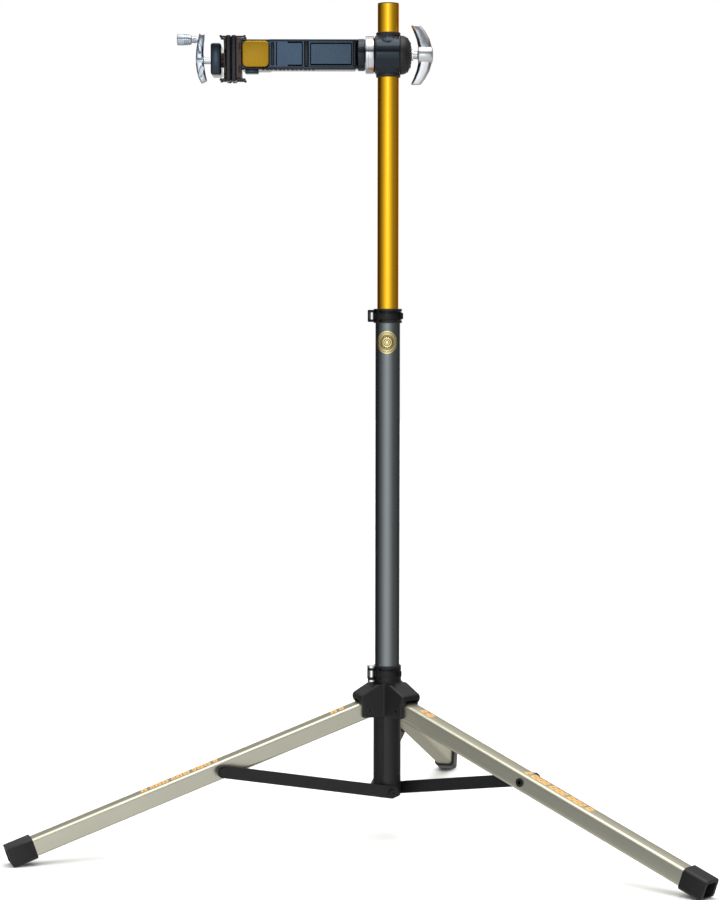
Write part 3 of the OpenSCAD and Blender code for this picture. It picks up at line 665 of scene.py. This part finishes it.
# Plain bars under the arm, every third one wider
def gripRow():
    bars = []
    for i in range(arm["grips"]):
        x = -193 + i * arm["gripPitch"]
        bar = block("bar", (x, -17.0, armZ - 24.3), (x + 3.6 + 1.2 * (i % 3 == 1), -8.0, armZ - 21.6))
        bars.append(soften(bar, 0.5, 2))
    return finished(joined("gripRow", bars), "clamp", blackPlastic)


def releaseButton():
    low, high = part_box("release_button")
    x0, x1 = low.x / mm, high.x / mm
    pad = block("releaseButton", (x0 + 0.3, button["front"], armZ - button["half"]),
                (x1 - 0.3, -13, armZ + button["half"]))
    soften(roundAlong(pad, "Y", button["corner"], 8), 1.9, 5, 60)
    foot = soften(block("foot", (x0 + 2, -13.6, armZ - 18), (x1 - 2, -9.5, armZ + 18)), 1.2, 2)
    stem = turned("stem", [(-12, 4), (22.0, 4), (22.6, 3.4)], "Y", (button["middle"], 0, jawZ), 48)
    combine(pad, "UNION", foot, stem)
    return finished(pad, "button", buttonGold, ["release_button"], smooth=30)


coil = {"wire": 0.7, "turns": 5, "radius": 6.0, "start": -4.2, "end": 2.2}


def spring():
    start, turns = coil["start"], coil["turns"]
    bpy.ops.mesh.primitive_circle_add(vertices=10, radius=coil["wire"] * mm,
                                      location=(coil["radius"] * mm, 0, 0), rotation=(math.pi / 2, 0, 0))
    piece = settled("buttonSpring")
    modify(piece, "SCREW", axis="Z", angle=2 * math.pi * turns, screw_offset=(coil["end"] - start) * mm,
           steps=28 * turns, render_steps=28 * turns, use_smooth_shade=True)
    editAll(piece)
    bpy.ops.mesh.fill_holes(sides=0)
    bpy.ops.object.mode_set(mode="OBJECT")
    lay(outward(piece), "Y", (button["middle"], start, jawZ))
    return finished(piece, "clamp", chrome, ["button_spring"], smooth=60)


# jaws

jaw = {"width": 44, "height": 62, "padWidth": 42, "padHeight": 70, "padThick": 8, "groove": 15, "ribs": 11,
       "notch": 17.5, "back": -250.9, "face": -247.9}
pin = {"radius": 3, "apart": 14, "height": 1210}   # two guide pins behind the outer jaw


# notch is where the cut-outs at the sides start and end in the plate's thickness
def jawPlate(name, left, right, body, finish, node, notch, boss=()):
    half, high = jaw["width"] / 2, jaw["height"] / 2
    plate = roundAlong(block(name, (left, -half, jawZ - high), (right, half, jawZ + high)), "X", 3, 4)
    for height in (-jaw["notch"], jaw["notch"]):
        for near, far in ((-30, -16), (16, 30)):
            combine(plate, "DIFFERENCE", block("notch", (notch[0], near, jawZ + height - 5),
                                               (notch[1], far, jawZ + height + 5)))
    soften(plate, 0.6, 2, 50)
    if boss:
        combine(plate, "UNION", *boss)
    return finished(plate, body, finish, [node], smooth=34)


def jawPlates():
    low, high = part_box("inner_jaw_plate")
    left, right = low.x / mm, high.x / mm
    jawPlate("innerJawPlate", left, right, "clamp", mauvePlate, "inner_jaw_plate", (right - 3.6, right + 1))
    back, face = jaw["back"], jaw["face"]
    tube = turned("boss", [(back - 4.8, 3.2), (back - 4.8, 7.4), (back - 4.2, 8), (back + 1, 8), (back + 1, 3.2),
                           (back - 4.8, 3.2)], "X", (0, 0, screwZ), 48)
    r = pin["radius"]
    pins = [turned("pin", [(back - 12, r - 0.6), (back - 11.4, r), (back + 1, r)], "X",
                   (0, y, pin["height"]), 32) for y in (-pin["apart"], pin["apart"])]
    jawPlate("outerJawPlate", back, face, "outer_jaw", brownPlate, "outer_jaw_plate", (back - 1, back + 2.6),
             [tube, *pins])


# facing is 1 for a pad that faces +X and -1 for its partner
def jawPad(name, back, facing, body, node):
    half, high = jaw["padWidth"] / 2, jaw["padHeight"] / 2
    face = back + facing * jaw["padThick"]
    low, top = jawZ - 0.5 - high, jawZ - 0.5 + high
    pad = block(name, (min(back, face), -half, low), (max(back, face), half, top))
    soften(pad, 2.6, 4, 60)
    deep = jaw["groove"]
    shallow = deep - 0.9
    rings = [(low - 2, deep)]
    pitch = (top - low) / jaw["ribs"]
    for i in range(jaw["ribs"]):
        z = low + (i + 0.5) * pitch
        rings += [(z - pitch * 0.22, deep), (z - pitch * 0.12, shallow),
                  (z + pitch * 0.12, shallow), (z + pitch * 0.22, deep)]
    rings.append((top + 2, deep))
    combine(pad, "DIFFERENCE", turned("groove", rings, "Z", (face + facing * (deep - 5), 0, 0), 72))
    return finished(pad, body, rubber, [node], smooth=34)


# Barbed hooks that hold a pad over its plate's top and bottom edges
def padHooks(name, plateBack, thick, facing, body, node):
    hooks = []
    for upper in (-1, 1):
        for y in (-15, 15):
            edge = jawZ + upper * jaw["height"] / 2
            padFace = plateBack - facing * thick

            def bar(x0, x1, z0, z1):
                a, b = sorted((x0, x1))
                c, d = sorted((z0, z1))
                return block("hook", (a, y - 3, c), (b, y + 3, d))
            hook = bar(padFace, plateBack + facing * 5.5, edge + upper * 0.05, edge + upper * 2.4)
            barb = bar(plateBack + facing * 3.2, plateBack + facing * 6.4,
                       edge + upper * 0.6, edge + upper * 3.4)
            combine(hook, "UNION", barb)
            hooks.append(soften(hook, 0.5, 2))
    return finished(joined(name, hooks), body, blackPlastic, [node])


housing = {"left": -271, "right": -255.1, "front": -20, "back": 38, "half": 24}


def outerHousing():
    h = housing
    z = jawZ - 1.5
    shell = block("outerHousing", (h["left"], h["front"], z - h["half"]), (h["right"], h["back"], z + h["half"]))
    soften(shell, 3.4, 4, 60)
    low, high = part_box("slide_bar")
    left, right, r = h["left"], h["right"], pin["radius"] + 0.2
    combine(shell, "DIFFERENCE",
            block("barSlot", (left + 3, low.y / mm, low.z / mm), (-240, high.y / mm, high.z / mm)),
            turned("screwBore", [(left - 2, 8.55), (right + 2, 8.55)], "X", (0, 0, screwZ), 56),
            *[turned("pinBore", [(left + 2, r), (right + 2, r)], "X", (0, y, pin["height"]), 32)
              for y in (-pin["apart"], pin["apart"])])
    return finished(shell, "carrier", blackGloss, ["outer_housing"], smooth=34)


screw = {"start": -291, "shoulder": -256.3, "end": -249.4, "core": 4.6, "crest": 5.45, "pitch": 2.0,
         "turns": 17, "journal": 2.95}


def feedScrew():
    core, crest = screw["core"], screw["crest"]
    rings = [(screw["start"], core)]
    for i in range(screw["turns"]):
        x = screw["start"] + 0.6 + i * screw["pitch"]
        rings += [(x, core), (x + 0.5, crest), (x + 1.0, crest), (x + 1.5, core)]
    rings += [(screw["shoulder"], core), (screw["shoulder"], screw["journal"]), (screw["end"], screw["journal"])]
    piece = turned("feedScrew", rings, "X", (0, 0, screwZ), 48)
    return finished(piece, "crank", chrome, ["feed_screw"])


crank = {"boss": 9.0, "knobHeight": 32, "sections": [   # height over the screw, left, right, depth, tilt
    (-33.0, -286.0, -277.5, 9, -24), (-31.8, -286.9, -276.9, 12, -24), (-24, -290.6, -279.2, 15, -18),
    (-14, -293.2, -281.0, 16.5, -11), (-5, -294.3, -282.2, 17.5, -4), (5, -294.4, -282.6, 17.5, 2),
    (14, -293.9, -282.8, 16.5, 6), (24, -292.6, -282.2, 15, 9), (33, -290.8, -281.4, 14, 12),
    (39.6, -289.4, -280.6, 12.5, 14), (41.0, -288.6, -281.0, 9.5, 14)]}


def crankArm():
    bar = drawn("crankArm", [(((a + b) / 2, 0, screwZ + z), b - a, depth, tilt)
                             for z, a, b, depth, tilt in crank["sections"]], (2.0, 2))
    soften(bar, 0.9, 2, 24)
    flute = []
    for side in (-1, 1):   # shallow panels in the front and the back
        for z0, z1, x0, x1, lean in ((-27, -8, -289.6, -282.4, -13), (9, 27, -290.6, -285.0, 6)):
            cutter = block("flute", (x0, side * 12 - 5, screwZ + z0), (x1, side * 12 + 5, screwZ + z1))
            flute.append(spun(soften(cutter, 1.6, 3), -lean, "Y", ((x0 + x1) / 2, 0, screwZ + (z0 + z1) / 2)))
    boss = turned("boss", [(-293.6, 7.4), (-293.2, 8.6), (-292.2, crank["boss"]), (-283.4, crank["boss"]),
                           (-282.2, 8.2), (-282.0, 6.6)], "X", (0, 0, screwZ), 56)
    combine(bar, "DIFFERENCE", *flute)
    combine(bar, "UNION", boss)
    combine(bar, "DIFFERENCE",
            turned("screwBore", [(-291, 5.5), (-270, 5.5)], "X", (0, 0, screwZ), 48),
            turned("pinBore", [(-300, 3.1), (-270, 3.1)], "X", (0, 0, screwZ + crank["knobHeight"]), 32))
    return finished(bar, "crank", crankAlloy, ["crank_arm"], smooth=30)


grip = {"flutes": 16, "fluteReach": 9.0}


def crankKnob():
    z = screwZ + crank["knobHeight"]
    knob = turned("crankKnob", [
        (-323.0, 5.5), (-323.0, 7.2), (-322.6, 8.1), (-321.8, 8.6), (-312.0, 8.6), (-311.5, 7.8), (-310.9, 7.8),
        (-310.4, 8.6), (-309.2, 8.6), (-308.7, 7.7), (-308.1, 7.7), (-307.6, 8.5), (-306.4, 8.5), (-305.9, 7.5),
        (-305.3, 7.5), (-304.8, 8.1), (-303.6, 8.0), (-301.2, 7.0), (-300.2, 5.0), (-297.6, 4.6), (-297.0, 5.7),
        (-295.6, 5.7), (-295.0, 4.6), (-292.3, 4.6), (-292.2, 2.95), (-284.2, 2.95)], "X", (0, 0, z), 72)
    cuts, reach = [], grip["fluteReach"]
    for i in range(grip["flutes"]):
        angle = 2 * math.pi * i / grip["flutes"]
        cuts.append(turned("flute", [(-320.6, 0.9), (-312.6, 0.9)], "X",
                           (0, reach * math.cos(angle), z + reach * math.sin(angle)), 12))
    combine(knob, "DIFFERENCE", joined("flutes", cuts))
    return finished(knob, "handle", crankAlloy, ["crank_knob"], smooth=34)


# hub

hub = {"floor": 193.5, "roof": 245, "cheek": 21.2, "reach": 46.5, "hood": 51, "grain": 0.85, "slot": 14.4}


def hubCasting():
    arms = []
    for side, turn in legTurn.items():
        cheeks = block("cheeks", (0, -hub["cheek"], hub["floor"]), (hub["reach"], hub["cheek"], 232))
        soften(cheeks, 3.0, 3, 60)
        hood = block("hood", (0, -hub["cheek"], 213.5), (hub["hood"], hub["cheek"], hub["roof"]))
        editAll(hood)   # the roof slopes down to its tip
        bpy.ops.mesh.bisect(plane_co=(23 * mm, 0, hub["roof"] * mm), plane_no=(0.51, 0, 0.86),
                            clear_outer=True, use_fill=True)
        bpy.ops.mesh.select_all(action="SELECT")   # and its underside slopes up to it
        bpy.ops.mesh.bisect(plane_co=(46.5 * mm, 0, 214.5 * mm), plane_no=(0.72, 0, -0.69),
                            clear_outer=True, use_fill=True)
        bpy.ops.object.mode_set(mode="OBJECT")
        combine(cheeks, "UNION", soften(outward(hood), 4.5, 4, 40))
        arms.append(spun(cheeks, turn))
    core = arms.pop()
    combine(core, "UNION", *arms,
            turned("skirt", [(hub["floor"] + 1, 23.6), (243, 23.6), (247, 22.6)], "Z"),
            turned("neck", [(235, 21.8), (259.0, 21.8), (260.0, 20.7), (262.0, 20.7), (263.0, 21.8),
                            (271.9, 21.8)], "Z"))
    cast(core, hub["grain"], 6)
    ears = block("ears", (-31, -7.5, neckZ - 10), (-18, 11, neckZ + 10))
    combine(core, "UNION", soften(ears, 1.5, 3, 60))
    cuts = [turned("sleeveBore", [(hub["floor"] - 2, 21.35), (232, 21.35)]),
            turned("mastBore", [(230, 19.15), (290, 19.15)]),
            block("squareFloor", (-60, -60, 180), (60, 60, hub["floor"])),
            block("sawCut", (-40, -1.25, hub["roof"] + 1), (0, 1.25, 280)),
            turned("skewerBore", [(-30, 2.55), (30, 2.55)], "Y", (-24.5, 0, neckZ), 32)]
    for side, turn in legTurn.items():
        slot = block("slot", (14, -hub["slot"], 180), (60, hub["slot"], 221.3))
        seats = [turned("seat", [(a, 6.5), (b, 6.5)], "Y", (pivotReach, 0, pivotZ), 48)
                 for a, b in ((-26, -hub["cheek"] + 2.2), (hub["cheek"] - 2.2, 26))]
        bore = turned("bore", [(-26, 4.02), (26, 4.02)], "Y", (pivotReach, 0, pivotZ), 40)
        cuts += [spun(tool, turn) for tool in (slot, *seats, bore)]
    combine(core, "DIFFERENCE", *cuts)
    return finished(core, "hub", blackCast, ["hub_casting"], smooth=40)


def camLever(name, node, body):
    lever = eased(node, name, 0.6, 2, 45)
    return finished(lever, body, blackLever, [node], smooth=36)


# The barrel that a lever turns on, narrower between its rims
def spool(name, node, body, y, z, half, waist, rim, rimHeight):
    rings = [(z - half, rim - 0.5), (z - half + 0.4, rim), (z - half + rimHeight - 0.4, rim),
             (z - half + rimHeight, rim - 0.5), (z - half + rimHeight + 0.3, waist), (z, waist)]
    rings += [(2 * z - a, r) for a, r in reversed(rings[:-1])]
    piece = turned(name, rings, "Z", (-24.5, y, 0), 48)
    combine(piece, "DIFFERENCE", turned("bore", [(0, 2.5), (20, 2.5)], "Y", (-24.5, y, z), 32))
    return finished(piece, body, chrome, [node])


band = {"outer": 22, "waist": 20.9, "bore": 19.05, "half": 11, "lip": 16.8, "ledge": 9.3}


def upperBand():
    r, waist, bore, half, ledge = band["outer"], band["waist"], band["bore"], band["half"], band["ledge"]
    profile = [(-half, bore), (-half, r - 0.6), (0.6 - half, r), (-7.6, r), (-7.0, r - 0.6), (-7.0, waist),
               (7.0, waist), (7.0, r - 0.6), (7.6, r), (half - 0.6, r), (half, r - 0.6), (half, band["lip"]),
               (ledge, band["lip"]), (ledge, bore), (-half, bore)]
    shell = turned("upperBand", [(collarZ + up, radius) for up, radius in profile], sides=96)
    ears = soften(block("ears", (-31, -7.5, collarZ - 9), (-18.6, 11, collarZ + 9)), 1.2, 3, 60)
    combine(shell, "UNION", ears)
    combine(shell, "DIFFERENCE",
            block("sawCut", (-40, -1.25, collarZ - 20), (0, 1.25, collarZ + 20)),
            turned("tubeBore", [(collarZ - half - 1, bore), (collarZ + ledge, bore)]),
            turned("skewerBore", [(-30, 2.55), (30, 2.55)], "Y", (-24.5, 0, collarZ), 32))
    return finished(shell, "mast", blackLever, ["upper_collar"])


# legs

def footCap(side):
    node = side + "_foot_cap"
    piece = eased(node, side + "FootCap", 1.1, 3, 40)
    return finished(piece, side + "_leg", blackPlastic, [node], smooth=36)


leg = {"side": 28, "corner": 5.5, "end": 574, "wall": 2, "braceBolt": 247.6}


def legTube(side):
    half, wall = leg["side"] / 2, leg["wall"]
    tube = block(side + "LegTube", (-half, -half, -half), (leg["end"], half, half))
    roundAlong(tube, "X", leg["corner"], 7)
    inside = block("inside", (-half - 2, wall - half, wall - half), (leg["end"] + 2, half - wall, half - wall))
    roundAlong(inside, "X", leg["corner"] - wall, 5)
    corner = block("corner", (-20, -20, -20), (0, 20, 20))   # leaves the inner end round about its pivot
    combine(corner, "DIFFERENCE", turned("round", [(-22, half), (22, half)], "Y"))
    combine(tube, "DIFFERENCE", inside, corner,
            turned("pivotHole", [(-20, 6), (20, 6)], "Y", sides=40),
            turned("braceHole", [(-20, 5), (20, 5)], "Y", (leg["braceBolt"], 0, 0), 40))
    ontoLeg(tube, side)
    return finished(tube, side + "_leg", champagne[side], [side + "_leg_tube"], smooth=32)


# Printed dashes along the top of a leg: where each starts and its length
marks = {"half": 6.0, "lean": -14,
         "dashes": [(32, 7), (44, 10)] + [(246 + i * 11.6, 9.4 if i % 3 else 6.0) for i in range(11)]}


def legMarks(side):
    top, half, printed = leg["side"] / 2, marks["half"], []
    for start, length in marks["dashes"]:
        centre = (start + length / 2, 0, top + 0.05)
        dash = spun(block("dash", (start, -half, top - 0.05), (start + length, half, top + 0.12)),
                    marks["lean"], "Z", centre)
        slit = block("slit", (start + length * 0.28, -2.4, top - 0.5), (start + length * 0.72, 3.4, top + 0.6))
        combine(dash, "DIFFERENCE", spun(slit, marks["lean"], "Z", centre))
        printed.append(dash)
    piece = joined(side + "LegMarks", printed)
    ontoLeg(piece, side)
    return finished(piece, side + "_leg", orangeInk, smooth=20)


badge = {"height": 772.5, "turn": -4.0, "width": 31, "tall": 35, "teeth": 16, "ticks": 40.0, "radius": 19.0}


def badgeFinish():
    sheet = Finish("goldFoil", Metallic=1.0, Specular_Tint=(1.0, 0.9, 0.6))
    x, y, z = sheet.parts(sheet.place())
    about = sheet.node("Math", {"operation": "ARCTAN2"}, {0: x, 1: -1.0 * y})
    across = about * badge["radius"] + math.radians(-badge["turn"]) * badge["radius"]
    up = z * 1000.0 - badge["height"]
    reach = sheet.node("Math", {"operation": "SQRT"}, {0: across * across + up * up})
    angle = sheet.node("Math", {"operation": "ARCTAN2"}, {0: up, 1: across})
    tooth = sheet.node("Math", {"operation": "SINE"}, {0: angle * badge["teeth"]})

    def hoop(inner, outer, blur=0.25):
        past = sheet.step(reach, inner - blur, inner + blur)
        return past * (1.0 - sheet.step(reach, outer - blur, outer + blur))

    rim = hoop(14.6, 15.3)
    inside = hoop(10.4, 11.5)
    gear = sheet.step(reach - 0.7 * tooth, 7.6, 8.2) * (1.0 - sheet.step(reach, 9.6, 9.9))
    ticks = sheet.node("Math", {"operation": "SINE"}, {0: angle * badge["ticks"]})
    spokes = hoop(12.0, 14.2) * sheet.step(ticks, 0.2, 0.6)
    heart = hoop(2.4, 3.2) + hoop(4.6, 5.6)
    dark = rim + inside + gear + spokes * 0.55 + heart
    patch = sheet.noise(sheet.place(), 300.0, 3.0)
    foil = sheet.between(patch, (0.82, 0.66, 0.26), (1.0, 0.88, 0.50))
    sheet.give("Base_Color", sheet.between(dark * 0.95, foil, (0.10, 0.05, 0.015)))
    sheet.give("Roughness", 0.22 + 0.22 * patch + 0.15 * dark)
    sheet.bump(1.0 - dark, 0.6, 0.0003)
    return sheet.material


# An oval of foil that lies against the tube
def tubeBadge():
    centre = (math.sin(math.radians(badge["turn"])) * badge["radius"], 0, badge["height"])
    low, top = badge["height"] - 25, badge["height"] + 25
    inner, outer = badge["radius"] + 0.02, badge["radius"] + 0.27
    foil = turned("tubeBadge", [(low, inner), (low, outer), (top, outer), (top, inner), (low, inner)], sides=180)
    oval = turned("oval", [(-30, badge["width"] / 2), (0, badge["width"] / 2)], "Y", centre, 96)
    editAll(oval)
    bpy.ops.transform.resize(value=(1, 1, badge["tall"] / badge["width"]),
                             center_override=[c * mm for c in centre])
    combine(foil, "INTERSECT", oval)
    return finished(foil, "mast", badgeFinish(), smooth=50)


# building

for make in (headBody, headBushes, domeCap, brakeRing, wingKnob):
    make()
print("head made")
for make in (clampArm, armRibs, gripRow, releaseButton, spring, jawPlates):
    make()
jawPad("innerJawPad", -231.5, -1, "clamp", "inner_jaw_pad")
jawPad("outerJawPad", -247.9, 1, "outer_jaw", "outer_jaw_pad")
padHooks("innerPadHooks", -224, 7.5, 1, "clamp", "inner_pad_clips")
padHooks("outerPadHooks", -250.9, 3.0, -1, "outer_jaw", "outer_pad_clips")
for make in (outerHousing, feedScrew, crankArm, crankKnob):
    make()
print("clamp made")
hubCasting()
spool("hubSpool", "hub_qr_barrel", "hub", -16.5, neckZ, 12.5, 4.2, 6, 3.6)
spool("upperSpool", "upper_qr_barrel", "mast", -15.5, collarZ, 8.8, 3.5, 3.6, 1.0)
camLever("hubLever", "hub_qr_lever", "hub_lever")
camLever("upperLever", "upper_qr_lever", "upper_lever")
upperBand()
tubeBadge()
print("hub and collars made")
for side in legTurn:
    legTube(side)
    footCap(side)
    legMarks(side)
print("legs made")

# Frame parts that keep their own shape
plain = [
    (gunmetal, ["mast_tube"]),
    (gold, ["upper_tube"]),
    (capBrown, ["tube_cap"]),
    (blackPlastic, ["base_plug", "guide_sleeve", "collar_bush", "left_leg_bushes", "right_leg_bushes",
                    "rear_leg_bushes"]),
    (blackSteel, ["base_bolts", "leg_pivot_bolts", "leg_pivot_nuts", "bar_stop", "left_brace", "right_brace",
                  "rear_brace", "left_brace_bolt", "right_brace_bolt", "rear_brace_bolt"]),
    (chrome, ["thrust_washer", "draw_bolt", "upper_qr_skewer", "hub_qr_skewer", "upper_qr_nut", "hub_qr_nut"]),
    (polished, ["slide_bar"]),
    (brass, ["feed_nut"]),
    (acetal, ["glide_bush"]),
]
for finish, names in plain:
    for name in names:
        nodes[name].data.materials[0] = finish
print("finishes on the plain parts")


# studio: floor, light and camera

studio = {
    "floor": 0.92, "above": 0.10, "ceiling": 1.3, "window": 3.6, "top": 2.4, "fill": 0.82,
    "lens": 95.97, "sensor": 36, "eye": (-0.0436, -3.702, 0.824), "down": 3.37, "roll": -0.065}


def studioFloor():
    bpy.ops.mesh.primitive_plane_add(size=24, location=(0, 2, -0.0004))
    floor = settled("floor")
    sheet = Finish("paleFloor", Roughness=0.9)
    patch = sheet.noise(sheet.place(), 3.0, 2.0)
    pale = studio["floor"]
    sheet.give("Base_Color", sheet.between(patch, scaled((1, 1, 1), pale - 0.01), scaled((1, 1, 1), pale)))
    floor.data.materials.append(sheet.material)
    floor.visible_glossy = False


# Bright floor and ceiling, a bright front, and dark behind and just above the eye's level
def studioSky():
    world = bpy.data.worlds.new("studio")
    bpy.context.scene.world = world
    world.use_nodes = True
    sheet = Sheet(world.node_tree)
    x, y, z = sheet.parts(sheet.node("TexCoord"))
    facing = (-0.993 * y - 0.12 * x) / (x * x + y * y + 0.0001) ** 0.5
    level = sheet.node("ValToRGB", {"stops": [
        (0.0, (0.85, 0.85, 0.83)), (0.07, (0.60, 0.60, 0.59)), (0.14, (0.03, 0.03, 0.03)),
        (0.3, (0.02, 0.02, 0.022)), (0.5, (0.09, 0.093, 0.10)), (0.75, (0.30, 0.31, 0.32)),
        (0.91, (0.76, 0.77, 0.79)), (1.0, (1.45, 1.45, 1.43))]},
        {0: facing * 0.5 + 0.5})
    aside = (1.0 - sheet.step(facing, 0.2, 0.8)) * sheet.step(facing, -0.8, -0.3)
    right = sheet.step(x, 0.1, 0.9) * aside * 0.6
    level = sheet.between(right, level, (0.32, 0.32, 0.31))
    level = sheet.between(sheet.step(z, 0.18, 0.30), level, scaled((1, 1, 1), studio["above"]))
    level = sheet.between(sheet.step(z, 0.36, 0.86), level, scaled((1.0, 0.99, 0.96), studio["ceiling"]))
    below = sheet.between(facing * 0.5 + 0.5, (0.42, 0.42, 0.41), (0.92, 0.92, 0.90))
    level = sheet.between(sheet.step(-1.0 * z, 0.20, 0.50), level, below)
    level = sheet.between(sheet.node("LightPath"), level, (1.0, 1.0, 1.0))
    world.node_tree.links.new(level.socket, world.node_tree.nodes["Background"].inputs["Color"])


def softbox(name, place, aim, width, height, radiance, colour):
    light = bpy.data.lights.new(name, "AREA")
    light.shape, light.size, light.size_y = "RECTANGLE", width, height
    light.energy = radiance * math.pi * width * height
    light.color = colour
    lamp = bpy.data.objects.new(name, light)
    bpy.context.scene.collection.objects.link(lamp)
    lamp.location = place
    lamp.rotation_euler = (Vector(place) - Vector(aim)).to_track_quat("Z", "Y").to_euler()
    return lamp


def studioCamera():
    camera = bpy.data.cameras.new("camera")
    camera.lens, camera.sensor_width = studio["lens"], studio["sensor"]
    view = bpy.data.objects.new("camera", camera)
    bpy.context.scene.collection.objects.link(view)
    view.location = studio["eye"]
    view.rotation_euler = (math.radians(90 - studio["down"]), math.radians(studio["roll"]), 0)
    bpy.context.scene.camera = view


studioFloor()
studioSky()
softbox("window", (-0.55, -5.4, 1.8), (0, 0, 1.0), 1.0, 1.1, studio["window"], (0.42, 0.69, 1.0))
softbox("topBox", (0.3, -0.6, 4.2), (0, 0, 0), 2.6, 2.6, studio["top"], (1.0, 0.985, 0.96))
fill = softbox("fill", (0, 4, 16), (0, 4, 0), 44, 44, studio["fill"], (1.0, 1.0, 1.0))   # lights the floor only
fill.visible_glossy = fill.visible_camera = False
studioCamera()
bpy.context.scene.view_settings.view_transform = "Standard"
print("studio ready")
